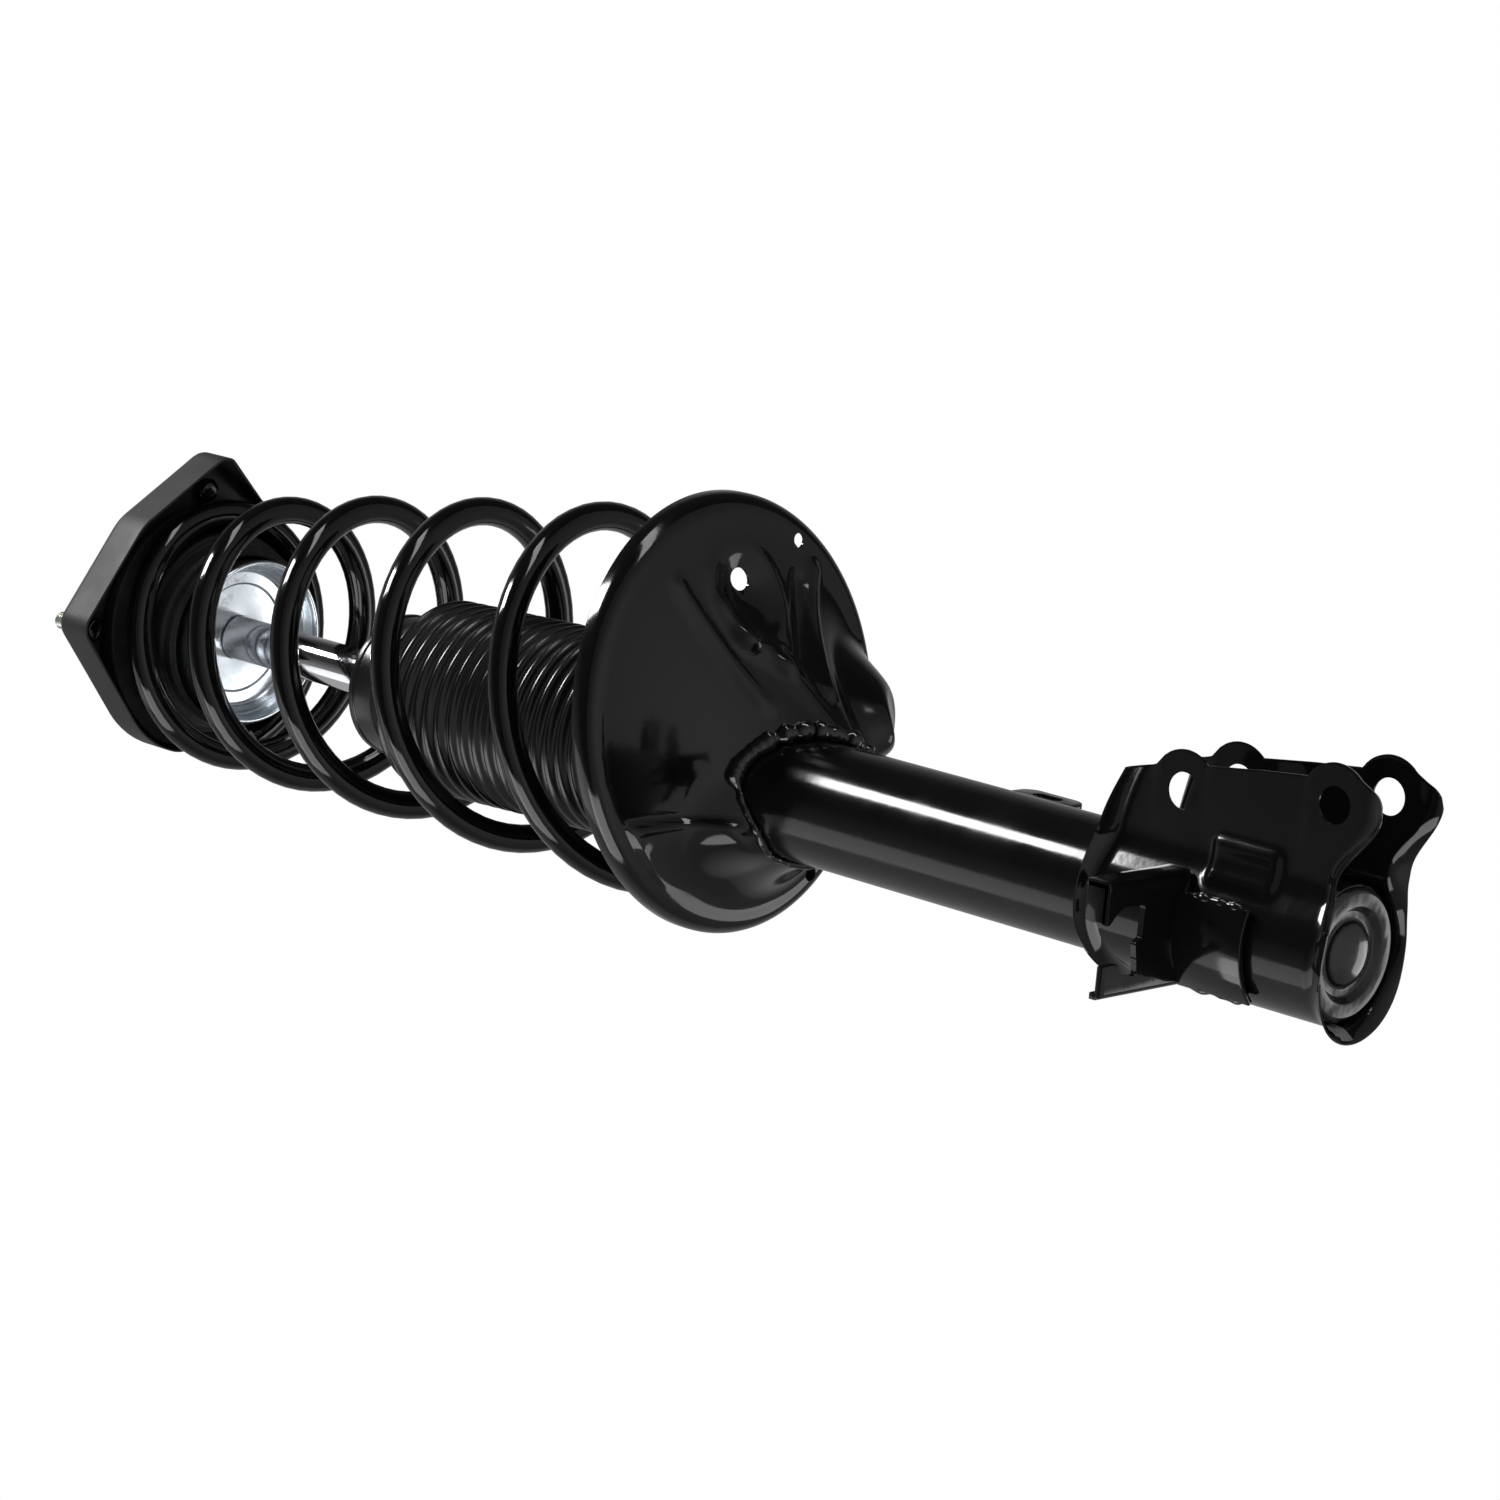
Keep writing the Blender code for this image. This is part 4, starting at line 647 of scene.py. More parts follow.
spring = {
    "wire": 6.15,
    "topRadius": 53.9,
    "growth": (4.03, 0.13),
    "offset": (0.8, 26.5, 2.1),
    "seatZ": -16.9,
    "pitch": (36.4, 17.15, -1.755),
    "turns": (-0.45, 5.72),
    "lift": (-0.12, 0.12),
    "land": (4.66, 5.26),
    "widest": 77.6,
    "landingZ": -337.25,
    "perTurn": 60,
    "stroke": 102.0,
    "seatTilt": 5.0,
    "seatedTurns": 0.75,
}
pan = {
    "centre": 26.5,
    "floorZ": -346.5,
    "tilt": 9.0,
    "twist": 3.0,
    "radius": 89.3,
    "rounding": 8.5,
    "flange": 3.5,
    "sheet": 2.8,
    "collarZ": -388.0,
    "collarSwing": 18.0,
    "collarCurve": 1.8,
    "inner": 25.7,
    "ridges": (
        # start, end, half width, height
        ((82.0, -38.0), (38.0, -13.5), 6.0, 2.6),
        ((74.0, -17.0), (62.0, -13.0), 7.0, 3.0),
        ((62.0, -13.0), (53.0, 1.0), 8.0, 3.6),
        ((53.0, 1.0), (28.0, 10.0), 8.0, 3.6),
        ((83.0, 46.0), (42.0, 20.0), 6.5, 3.8),
        ((80.0, 34.0), (52.0, 13.0), 6.0, -2.6),
    ),
    "pocket": ((79.0, -2.0), 18.0, 6.5),
    "pocketRim": (19.0, 4.0, 1.4),
    "neck": ((-12.0, -24.0), 24.0, 11.0),
    "lobe": ((27.0, 60.0), 30.0, 22.0),
    "fold": ((-13.0, -66.0), (-10.5, -20.0), 5.0, 30.0, 5.0),
    "foldEnds": (0.22, 0.35),
    "holes": (((82.0, 0.0), 4.6), ((95.0, 39.0), 3.0), ((15.0, 68.0), 3.5), ((-42.0, 41.0), 3.5)),
    "drillLength": 120.0,
    "drillZ": -360.0,
    "columns": 224,
    "rowPower": 1.15,
    "floorRows": 46,
    "wallRows": 12,
    "weldSteps": 240,
    "weldHeavy": (-82.0, 52.0, 14.0),  # from and to in degrees, and how fast it fades
    "weldSizes": (1.5, 2.4),
}


def panPlane(x, y):
    return pan["floorZ"] + slope(pan["tilt"]) * (x - pan["centre"]) + slope(pan["twist"]) * y


def springPitch(turn):
    lift = smoothBetween(spring["lift"], turn)
    land = 1.0 - smoothBetween(spring["land"], turn)
    first, second, third = spring["pitch"]
    return (first + second * turn + third * turn * turn) * lift * land


def springLine():
    start, end = spring["turns"]
    count = round((end - start) * spring["perTurn"])
    turns = [start + (end - start) * step / count for step in range(count + 1)]
    fallen = [0.0]
    for before, after in zip(turns, turns[1:]):
        fallen.append(fallen[-1] + springPitch((before + after) / 2.0) * (after - before))
    top, bottom, shift = spring["offset"]
    seat, landing = spring["seatZ"], spring["landingZ"]
    linear, square = spring["growth"]
    line = []
    for turn, fall in zip(turns, fallen):
        share = fall / fallen[-1]
        centre = top + (bottom - top) * share + shift * math.sin(math.pi * share)
        turnedOver = share**6
        tilt = spring["seatTilt"] + (pan["tilt"] - spring["seatTilt"]) * turnedOver
        grown = max(turn, 0.0)
        radius = spring["topRadius"] + linear * grown + square * grown * grown
        across, aside = onCircle(min(radius, spring["widest"]), -math.tau * turn)
        height = seat + (landing - seat) * share + slope(tilt) * across
        height += slope(pan["twist"]) * turnedOver * aside
        line.append((centre + across, aside, height))
    return line


def makeSpring():
    line = springLine()
    wire = bpy.data.curves.new("coilWire", "CURVE")
    wire.dimensions = "3D"
    wire.bevel_depth = spring["wire"] * mm
    wire.bevel_resolution = 9
    wire.use_fill_caps = True
    stretch = wire.splines.new("POLY")
    stretch.points.add(len(line) - 1)
    for target, place in zip(stretch.points, line):
        target.co = (*(Vector(place) * mm), 1.0)
    piece = bpy.data.objects.new("coilSpring", wire)
    bpy.context.collection.objects.link(piece)
    take(piece)
    bpy.ops.object.convert(target="MESH")
    piece = bpy.context.object
    closeUp(piece)
    softEdges(piece, 0.9, 3, 50.0)
    finishPiece(piece, "upper_mount", "springBlack", ("coil_spring",), 50.0)
    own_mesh(piece)


makeSpring()
print("spring made")


# lower spring pan: deep pressing with ridges, a pocket, a side lobe and a welded collar


def nearLine(x, y, start, end):
    line = Vector(end) - Vector(start)
    away = Vector((x, y)) - Vector(start)
    return (away - line * limited(away.dot(line) / line.length_squared)).length


def bumpShape(distance, width):
    return smoothStep(1.0 - distance / width)


def panFeature(x, y):
    out = 0.0
    for start, end, width, height in pan["ridges"]:
        out += height * bumpShape(nearLine(x, y, start, end), width)
    (x0, y0), (x1, y1), sharp, gentle, height = pan["fold"]
    share = (y - y0) / (y1 - y0)
    past = x - (x0 + (x1 - x0) * limited(share))
    before, after = pan["foldEnds"]
    ends = smoothStep((share + before) / before) * smoothStep((1.0 + after - share) / after)
    out += height * ends * bumpShape(abs(past), sharp if past > 0.0 else gentle)
    centre, radius, depth = pan["lobe"]
    out += depth * bumpShape(math.dist((x, y), centre) - radius / 3.0, radius * 2.0 / 3.0)
    flat = pan["radius"] - pan["rounding"] - spring["wire"]
    across = math.dist((x, y), (pan["centre"], 0.0))
    room = bumpShape(across - flat + 2.0 * spring["wire"], 2.0 * spring["wire"])
    centre, radius, depth = pan["pocket"]
    out -= depth * bumpShape(math.dist((x, y), centre), radius) * room
    ring, width, height = pan["pocketRim"]
    out += height * bumpShape(abs(math.dist((x, y), centre) - ring), width) * room
    return out


def neckDrop(spot):
    centre, reach, depth = pan["neck"]
    return depth * bumpShape(math.dist(spot, centre), reach)


def collarZ(angle):
    return pan["collarZ"] - pan["collarSwing"] * math.sin(angle)


def panPlace(column, row):
    angle = math.tau * column / pan["columns"]
    flat = pan["radius"] - pan["rounding"]
    if row <= pan["floorRows"]:
        share = (row / pan["floorRows"]) ** pan["rowPower"]
        edge = Vector(onCircle(flat, angle)) + Vector((pan["centre"], 0.0))
        spot = Vector(onCircle(pan["inner"], angle)).lerp(edge, share)
        floor = panPlane(spot.x, spot.y)
        height = floor + (collarZ(angle) - floor) * (1.0 - share) ** pan["collarCurve"]
        height -= panFeature(spot.x, spot.y) * smoothStep(share * 4.0) + neckDrop(spot)
        return spot.x, spot.y, height
    share = (row - pan["floorRows"]) / (pan["wallRows"] - 1)
    turn = math.pi / 2.0 * min(share, 1.0)
    x, y = onCircle(flat + pan["rounding"] * math.sin(turn), angle)
    x += pan["centre"]
    rise = pan["rounding"] * (1.0 - math.cos(turn)) + pan["flange"] * (share > 1.0)
    return x, y, panPlane(x, y) + rise


def makePan():
    rows = pan["floorRows"] + pan["wallRows"]
    piece = shapedGrid("lowerPan", pan["columns"], rows, panPlace)
    thicken(piece, pan["sheet"], -1.0, 2.0, False)
    softEdges(piece, 0.7, 3, 48.0)
    for (x, y), radius in pan["holes"]:
        drill = added(
            "panDrill", bpy.ops.mesh.primitive_cylinder_add, vertices=40, radius=radius * mm,
            depth=pan["drillLength"] * mm, location=(x * mm, y * mm, pan["drillZ"] * mm),
        )
        combine(piece, drill)
    finishPiece(piece, "lower_strut", "glossBlack", ("lower_spring_seat",), 50.0)


bead = {"ripple": (0.22, 0.5), "fine": (0.7, 0.1), "wave": (0.7, 0.14)}  # how close, how much


def beadAlong(name, places, radius, seed, columns=10, closed=True):
    # an uneven weld bead that follows a line of points in mm
    places = [Vector(place) for place in places]
    count = len(places)
    (far, much), (near, little), (often, wave) = bead["ripple"], bead["fine"], bead["wave"]

    def beadPlace(column, row):
        here = places[row % count]
        ahead = places[(row + 1) % count] if closed else places[min(row + 1, count - 1)]
        behind = places[(row - 1) % count] if closed else places[max(row - 1, 0)]
        line = (ahead - behind).normalized()
        side = line.cross(Vector((0.31, 0.17, 0.93))).normalized()
        up = side.cross(line)
        angle = math.tau * column / columns
        ripple = noise.noise(here * far + Vector((seed, 0.0, 0.0)))
        fine = noise.noise(here * near + Vector((0.0, seed, 0.0)))
        size = radius[row % count] if isinstance(radius, list) else radius
        size *= 1.0 + wave * math.sin(row * often) + much * ripple + little * fine
        if not closed:
            size *= math.sqrt(max(1.0 - abs(2.0 * row / (count - 1) - 1.0) ** 6, 0.0))
        return here + (side * math.cos(angle) + up * math.sin(angle)) * size

    return shapedGrid(name, columns, count if closed else count - 1, beadPlace)


def makePanWelds():
    # heavy lumps on one side of the tube, a thin bead round the rest
    ring, sizes = [], []
    first, last, fade = pan["weldHeavy"]
    thin, more = pan["weldSizes"]
    for step in range(pan["weldSteps"]):
        angle = math.tau * step / pan["weldSteps"]
        turn = (math.degrees(angle) + 180.0) % 360.0 - 180.0
        heavy = smoothStep((turn - first) / fade) * smoothStep((last - turn) / fade)
        z = collarZ(angle) - 0.4 + 1.2 * heavy - neckDrop(onCircle(pan["inner"], angle))
        ring.append((*onCircle(pan["inner"] + 1.0 + 1.6 * heavy, angle), z))
        sizes.append(thin + more * heavy)
    piece = beadAlong("panWeld", ring, sizes, 4.0, 14)
    finishPiece(piece, "lower_strut", "weldBlack", (), 60.0)


makePan()
makePanWelds()
print("pan made")


# dust boot: soft ribbed sleeve that leans a little

boot = {
    "neckBore": 28.3,
    "wall": 2.4,
    "neckTop": -141.0,
    "bore": 36.6,
    "ribDepth": 3.3,
    "ribCount": 21,
    "pitch": 7.4,
    "shoulderZ": -169.7,
    "lean": 2.2,
    "leanFrom": -156.0,
    "root": 0.85,
    "crest": (2.2, 1.5),
    "perRib": 10,
    "sides": 144,
}


def bootProfile():
    neck = boot["neckBore"] + boot["wall"]
    root = boot["bore"] + boot["wall"]
    shoulder = boot["shoulderZ"]
    pitch = boot["pitch"]
    bore, top = boot["neckBore"], boot["neckTop"]
    profile = softened([
        (bore, top, 0.8), (neck + 0.6, top, 0.9), (neck + 0.6, top - 3.0, 0.8),
        (neck, top - 3.6, 0.6), (neck, shoulder + 2.0 * pitch, 4.0),
        (neck + 2.0, shoulder + pitch, 4.0), (root - 1.0, shoulder + 1.5, 0.0),
    ], False)
    flank, tip = boot["crest"]
    for rib in range(boot["ribCount"]):
        for step in range(boot["perRib"]):
            share = step / boot["perRib"]
            rise = 0.0
            if share < boot["root"]:
                rise = (1.0 - abs(2.0 * share / boot["root"] - 1.0) ** flank) ** tip
            profile.append((root + boot["ribDepth"] * rise, shoulder - (rib + share) * pitch))
    last = shoulder - (boot["ribCount"] - 1) * pitch - boot["root"] * pitch
    profile = [place for place in profile if place[1] > last - 0.01]
    profile += [(root, last - 0.6), (root - 0.8, last - 1.2), (boot["bore"], last - 1.2)]
    for step in range(4 * boot["ribCount"] - 4, 1, -1):
        share = (step / 4) % 1.0
        rise = max(math.sin(math.pi * min(share / boot["root"], 1.0)), 0.0)
        reach = boot["bore"] + 0.8 * boot["ribDepth"] * rise
        profile.append((reach, shoulder - step / 4 * pitch))
    profile += [(bore, shoulder + pitch / 2.0), (bore, top - 0.8), profile[0]]
    return profile


def makeBoot():
    piece = turned("dustSleeve", bootProfile(), boot["sides"])
    for point in piece.data.vertices:
        hang = max(0.0, boot["leanFrom"] * mm - point.co.z)
        point.co.x += slope(boot["lean"]) * hang
    finishPiece(piece, "lower_strut", "bootRubber", ("dust_boot",), 55.0)


makeBoot()


# bump stop: rounded foam block with two waists

bumpStop = {"top": -132.0, "bottom": -179.7, "bore": 10.3, "radius": 28.0, "waist": 23.0}


def makeBumpStop():
    bottom, top = bumpStop["bottom"], bumpStop["top"]
    length = top - bottom
    radius, waist = bumpStop["radius"], bumpStop["waist"]
    side = (
        (radius - 1.0, 0.16), (waist, 0.25), (waist, 0.29), (radius - 1.0, 0.38),
        (radius - 1.0, 0.50), (waist, 0.58), (waist, 0.62), (radius, 0.70),
    )
    points = [(bumpStop["bore"], bottom, 0.5), (radius - 2.0, bottom, 1.5)]
    points += [(reach, bottom + share * length, 3.0) for reach, share in side]
    points += [
        (radius, bottom + 0.84 * length, 6.0), (radius - 6.0, top, 6.0),
        (bumpStop["bore"] + 3.0, top, 1.5), (bumpStop["bore"], top - 3.0, 1.0),
    ]
    piece = turnedRing("bumpBlock", points, 6, 112)
    finishPiece(piece, "lower_strut", "stopRubber", ("bump_stop",), 55.0)


makeBumpStop()
print("boot and bump stop made")


# mount plate: pressed tray with three corners and a domed middle

plate = {
    "symmetry": -44.5,
    "corners": (
        # distance from the axis, angle from the symmetry line, rounding
        (65.8, -98.5, 45.0),
        (84.0, -40.6, 9.0),
        (74.6, 0.0, 25.0),
        (84.0, 40.6, 9.0),
        (65.8, 98.5, 45.0),
        (85.0, 180.0, 9.0),
    ),
    "sheet": 2.5,
    "depth": 21.0,
    "shallow": 8.0,
    "trimDirection": 100.0,
    "trim": (-16.9, 16.3),
    "edgeRounding": 5.0,
    "dome": ((21.0, 9.0), (23.5, 9.0), (29.5, 7.8), (33.0, 2.6), (36.5, 0.0)),
    "columns": 288,
}


def plateOutline():
    points = [
        (*onCircle(radius, math.radians(plate["symmetry"] + angle)), rounding)
        for radius, angle, rounding in plate["corners"]
    ]
    return softened(points, True, 24)


def reachOf(outline, angle):
    # distance from the axis to a convex outline in one direction
    ahead = Vector(onCircle(1.0, angle))
    reach = math.inf
    for before, after in zip(outline[-1:] + outline[:-1], outline):
        line = Vector(after) - Vector(before)
        if line.length < 1e-6:
            continue
        outward = Vector((line.y, -line.x)).normalized()
        facing = outward.dot(ahead)
        if facing > 1e-6:
            reach = min(reach, outward.dot(Vector(before)) / facing)
    return reach


def lipZ(x, y):
    # the wall is shallower on one side
    low, high = plate["trim"]
    angle = math.radians(plate["trimDirection"])
    ahead = x * math.cos(angle) + y * math.sin(angle)
    share = limited((ahead - low) / (high - low))
    return -plate["depth"] + (plate["depth"] - plate["shallow"]) * share


def makePlate():
    outline = plateOutline()
    reaches = [
        reachOf(outline, math.tau * column / plate["columns"])
        for column in range(plate["columns"] + 1)
    ]
    dome = softened([(r, z, 3.0) for r, z in plate["dome"]], False, 4)
    rounding = plate["edgeRounding"]
    rows = [("dome", place) for place in dome]
    rows += [("flat", share) for share in (0.15, 0.35, 0.6, 0.85, 1.0)]
    rows += [("edge", math.pi / 2.0 * step / 8) for step in range(1, 9)]
    rows += [("wall", share) for share in (0.35, 0.7, 1.0)]

    def platePlace(column, row):
        angle = math.tau * column / plate["columns"]
        reach = reaches[column]
        kind, value = rows[row]
        height = 0.0
        if kind == "dome":
            radius, height = value
        elif kind == "flat":
            start = dome[-1][0]
            radius = start + (reach - rounding - start) * value
        elif kind == "edge":
            radius = reach - rounding * (1.0 - math.sin(value))
            height = -rounding * (1.0 - math.cos(value))
        else:
            radius = reach
            height = -rounding + (lipZ(*onCircle(reach, angle)) + rounding) * value
        return *onCircle(radius, angle), height

    piece = shapedGrid("mountTray", plate["columns"], len(rows) - 1, platePlace)
    thicken(piece, plate["sheet"], -1.0, 1.5, True)
    softEdges(piece, 0.7, 3, 48.0)
    finishPiece(piece, "upper_mount", "satinBlack", ("mount_plate",), 40.0)


makePlate()
print("plate made")


# studs, rod and hardware on top

thread = {"columns": 48, "perTurn": 10, "depth": 0.58, "flank": 1.15, "chamfer": (1.2, 0.8)}


def threadedShape(name, radius, pitch, low, high, centre):
    # a bar with a rolled helical thread, its ends chamfered
    perTurn = thread["perTurn"]
    rows = round((high - low) / pitch * perTurn)
    depth = thread["depth"] * pitch
    chamfer, cutBack = thread["chamfer"]

    def threadPlace(column, row):
        angle = math.tau * column / thread["columns"]
        z = low + (high - low) * row / rows
        phase = (row / perTurn - column / thread["columns"]) % 1.0
        groove = abs(2.0 * phase - 1.0)
        fade = min(1.0, (z - low) / pitch, (high - z) / pitch)
        size = radius - depth * max(0.0, 1.0 - thread["flank"] * groove) * max(fade, 0.0)
        size -= cutBack * max(0.0, 1.0 - (high - z) / chamfer)
        if row in (0, rows):
            size = 0.0
        x, y = onCircle(size, angle)
        return centre[0] + x, centre[1] + y, z

    return shapedGrid(name, thread["columns"], rows, threadPlace)


studs = {
    "circle": 63.8, "spread": 42.5, "radius": 4.0, "pitch": 1.25, "length": 20.0,
    "headRadius": 5.6, "headTop": -2.8, "headHeight": 4.0,
}


def studHead():
    radius, top = studs["headRadius"], studs["headTop"]
    low = top - studs["headHeight"]
    points = [
        (0.0, top, 0.0), (radius, top, 0.4), (radius, top - 1.4, 0.8),
        (radius - 1.3, low + 0.6, 1.6), (2.4, low, 1.6), (0.0, low, 0.0),
    ]
    return turned("studHead", softened(points, False, 4), 48)


def makeStuds():
    angles = (studs["spread"], -studs["spread"], 180.0)
    names = sorted(name for name in nodes if name.startswith("mount_stud"))
    made, heads = [], []
    for number, angle in enumerate(angles, 1):
        spot = onCircle(studs["circle"], math.radians(plate["symmetry"] + angle))
        made.append(threadedShape(
            f"studBar{number}", studs["radius"], studs["pitch"],
            studs["headTop"] - 0.5, studs["length"], spot,
        ))
        heads.append(moved(studHead(), *spot))
    piece = joinPieces(made)
    piece.name = "studThreads"
    finishPiece(piece, "upper_mount", "zincStud", tuple(names), 30.0)
    piece = joinPieces(heads)
    piece.name = "studHeads"
    finishPiece(piece, "upper_mount", "glossBlack", (), 30.0)


makeStuds()

hardware = {
    "sleeve": (7.3, 11.0, 5.0, -29.0),
    "washer": (7.3, 18.0, 5.3, 7.8),
    "nut": (22.0, 7.0, 8.1, 18.1),
    "nutRounding": 0.35,
}
rodShape = {
    "radius": 10.0, "neck": 7.0, "top": 26.0, "shoulder": -29.3,
    "pistonNeck": (-234.2, 6.0, -270.4), "threadFrom": 3.0, "pitch": 1.5,
}


def makeRod():
    shoulder = rodShape["shoulder"]
    neckTop, neckRadius, end = rodShape["pistonNeck"]
    radius, neck = rodShape["radius"], rodShape["neck"]
    points = [
        (0.0, 4.0, 0.0), (neck - 0.6, 4.0, 0.0), (neck - 0.2, 2.0, 0.3),
        (neck - 0.2, shoulder, 0.4), (radius - 0.2, shoulder, 0.6),
        (radius, shoulder - 1.2, 0.4), (radius, neckTop, 0.3),
        (neckRadius, neckTop, 0.3), (neckRadius, end, 0.5), (0.0, end, 0.0),
    ]
    bar = turned("pistonBar", softened(points, False, 3), 128)
    screw = threadedShape(
        "rodThread", neck, rodShape["pitch"], rodShape["threadFrom"], rodShape["top"], (0.0, 0.0)
    )
    piece = joinPieces([bar, screw])
    finishPiece(piece, "upper_mount", "hardChrome", ("piston_rod",), 35.0)


makeRod()


def hexNut(name, acrossFlats, bore, low, high):
    corner = acrossFlats / math.sqrt(3.0)
    piece = added(
        name, bpy.ops.mesh.primitive_cylinder_add, vertices=6, radius=corner * mm,
        depth=(high - low) * mm, location=(0.0, 0.0, (low + high) / 2.0 * mm),
    )
    bpy.ops.object.transform_apply(location=True, rotation=True, scale=True)
    flat = acrossFlats / 2.0 - 0.2
    lens = [
        (0.0, low - 0.01), (flat, low - 0.01), (corner + 0.3, low + 1.6),
        (corner + 0.3, high - 1.6), (flat, high + 0.01), (0.0, high + 0.01),
    ]
    combine(piece, turned("nutLens", lens, 96), "INTERSECT")
    hole = [
        (0.0, low - 1.0), (bore + 1.4, low - 1.0), (bore + 0.1, low + 0.7),
        (bore + 0.1, high - 0.7), (bore + 1.4, high + 1.0), (0.0, high + 1.0),
    ]
    combine(piece, turned("nutHole", hole, 64))
    softEdges(piece, hardware["nutRounding"], 2, 35.0)
    return piece


def makeHardware():
    bore, outer, top, low = hardware["sleeve"]
    ring = [(bore, low, 0.5), (outer, low, 0.5), (outer, top, 0.5), (bore, top, 0.5)]
    piece = turnedRing("innerSleeve", ring, 4, 80)
    finishPiece(piece, "upper_mount", "bareSteel", ("mount_inner_sleeve",))
    bore, outer, low, high = hardware["washer"]
    ring = [(bore, low, 0.4), (outer, low, 0.8), (outer, high, 0.8), (bore, high, 0.4)]
    piece = turnedRing("topWasher", ring, 4, 96)
    finishPiece(piece, "upper_mount", "zincStud", ("top_washer",))
    flats, bore, low, high = hardware["nut"]
    piece = hexNut("rodNut", flats, bore, low, high)
    finishPiece(piece, "upper_mount", "zincStud", ("rod_nut",))


makeHardware()
print("studs, rod and hardware made")


# bump cup and upper spring pad

cup = {
    "radius": 37.5, "step": 34.5, "sheet": 2.0, "floorZ": -29.0, "depth": 13.0, "bore": 7.3,
    "floorRing": 25.0,
}
pad = {
    "bore": 38.1, "flange": 57.9, "top": -2.8, "seatZ": -10.45, "hub": 46.35,
    "drop": 8.0, "stepIn": 3.0,
}


def makeCup():
    rim = cup["floorZ"] - cup["depth"]
    lip = cup["radius"] - cup["step"]
    step, floor, sheet = cup["step"], cup["floorZ"], cup["sheet"]
    radius, bore, ring = cup["radius"], cup["bore"], cup["floorRing"]
    points = [
        (bore, floor, 0.3), (ring - 0.4, floor, 0.8), (ring + 0.4, floor - 0.5, 0.8),
        (step - 3.2 * lip / 3.0, floor - 0.6, 2.6), (step - lip / 3.0, floor - lip - 0.8, 1.2),
        (step - 0.3, floor - 5.6, 0.8), (step + 0.5, floor - 6.2, 0.6),
        (step + 0.5, rim + 2.2, 1.0), (step + 1.4, rim, 0.8), (radius, rim, 1.0),
        (radius, rim + lip, 0.5), (radius - 0.9, rim + lip, 0.4),
        (step + sheet, rim + sheet + 0.8, 1.0), (step + sheet, floor - lip, 1.0),
        (step, floor + sheet * 0.7, 1.6), (step - lip, floor + sheet, 1.6),
        (bore, floor + sheet, 0.3),
    ]
    piece = turnedRing("bumpCup", points, 5, 144)
    finishPiece(piece, "upper_mount", "zincCup", ("bump_cup",), 40.0)


def makePad():
    seat, hub = pad["seatZ"], pad["hub"]
    last = cup["floorZ"] - pad["stepIn"]
    first = seat - pad["drop"]
    step = hub - pad["stepIn"]
    middle = (first + last) / 2.0
    inner = (step + pad["bore"]) / 2.0 + 1.0
    points = [
        (pad["bore"], pad["top"], 0.4), (pad["flange"], pad["top"], 0.8),
        (pad["flange"], seat, 1.2), (hub + 0.2, seat, 0.8), (hub, first, 1.2),
        (step + 0.3, first - 0.8, 1.0), (step, middle - 0.8, 1.2),
        (inner, middle - 2.4, 1.2), (inner, last, 1.0), (pad["bore"], last, 0.8),
    ]
    piece = turnedRing("springPad", points, 4, 160)
    wall = plate["sheet"] + 0.3
    outline = plateOutline()
    for point in piece.data.vertices:
        flat = math.hypot(point.co.x, point.co.y)
        reach = (reachOf(outline, math.atan2(point.co.y, point.co.x)) - wall) * mm
        if flat > reach:
            point.co.x *= reach / flat
            point.co.y *= reach / flat
        high = point.co.z > (seat - 1.4) * mm
        low = point.co.z < (seat + 1.3) * mm
        if high and low and flat > (hub - 0.5) * mm:
            share = smoothStep((flat / mm - hub) / 2.0)
            across = point.co.x - spring["offset"][0] * mm
            point.co.z += slope(spring["seatTilt"]) * across * share
    finishPiece(piece, "upper_mount", "padRubber", ("upper_spring_pad",), 45.0)


makeCup()
makePad()
print("cup and pad made")


# rubber of the mount, seen from above round the sleeve

mountRubber = {
    "ring": (
        # radius, height, rounding
        (11.3, -26.7, 0.5), (29.5, -26.7, 1.5), (35.5, -24.7, 1.5), (35.5, -5.0, 2.0),
        (31.2, -2.5, 1.0), (30.6, 4.6, 2.0), (22.0, 6.1, 0.5), (19.4, 6.6, 0.6),
        (17.4, 4.9, 1.0), (15.4, 4.9, 1.0), (13.4, 6.0, 0.8), (11.3, 4.4, 0.4),
    ),
}


def makeMountRubber():
    piece = turnedRing("mountBush", mountRubber["ring"], 4, 112)
    finishPiece(piece, "upper_mount", "padRubber", ("mount_rubber",), 45.0)


makeMountRubber()


# strut tube and its domed cap

tube = {
    "radius": 25.4, "wall": 2.2, "top": -180.0, "bottom": -656.0, "sides": 160,
    "bands": (-300.0, -450.0, -600.0),
}
cap = {
    "face": -659.3, "ringRadius": 17.0, "ringFloor": -656.6, "domeRadius": 12.6,
    "domeTip": -661.4, "plug": 22.9, "plugTop": -654.0,
}


def makeTube():
    outer, inner = tube["radius"], tube["radius"] - tube["wall"]
    points = [(inner, tube["top"], 0.4), (outer, tube["top"], 0.8)]
    points += [(outer, z, 0.0) for z in tube["bands"]]
    points += [(outer, tube["bottom"], 0.5), (inner, tube["bottom"], 0.3)]
    piece = turnedRing("strutTube", points, 4, tube["sides"])
    finishPiece(piece, "lower_strut", "tubeBlack", ("strut_tube",), 50.0)


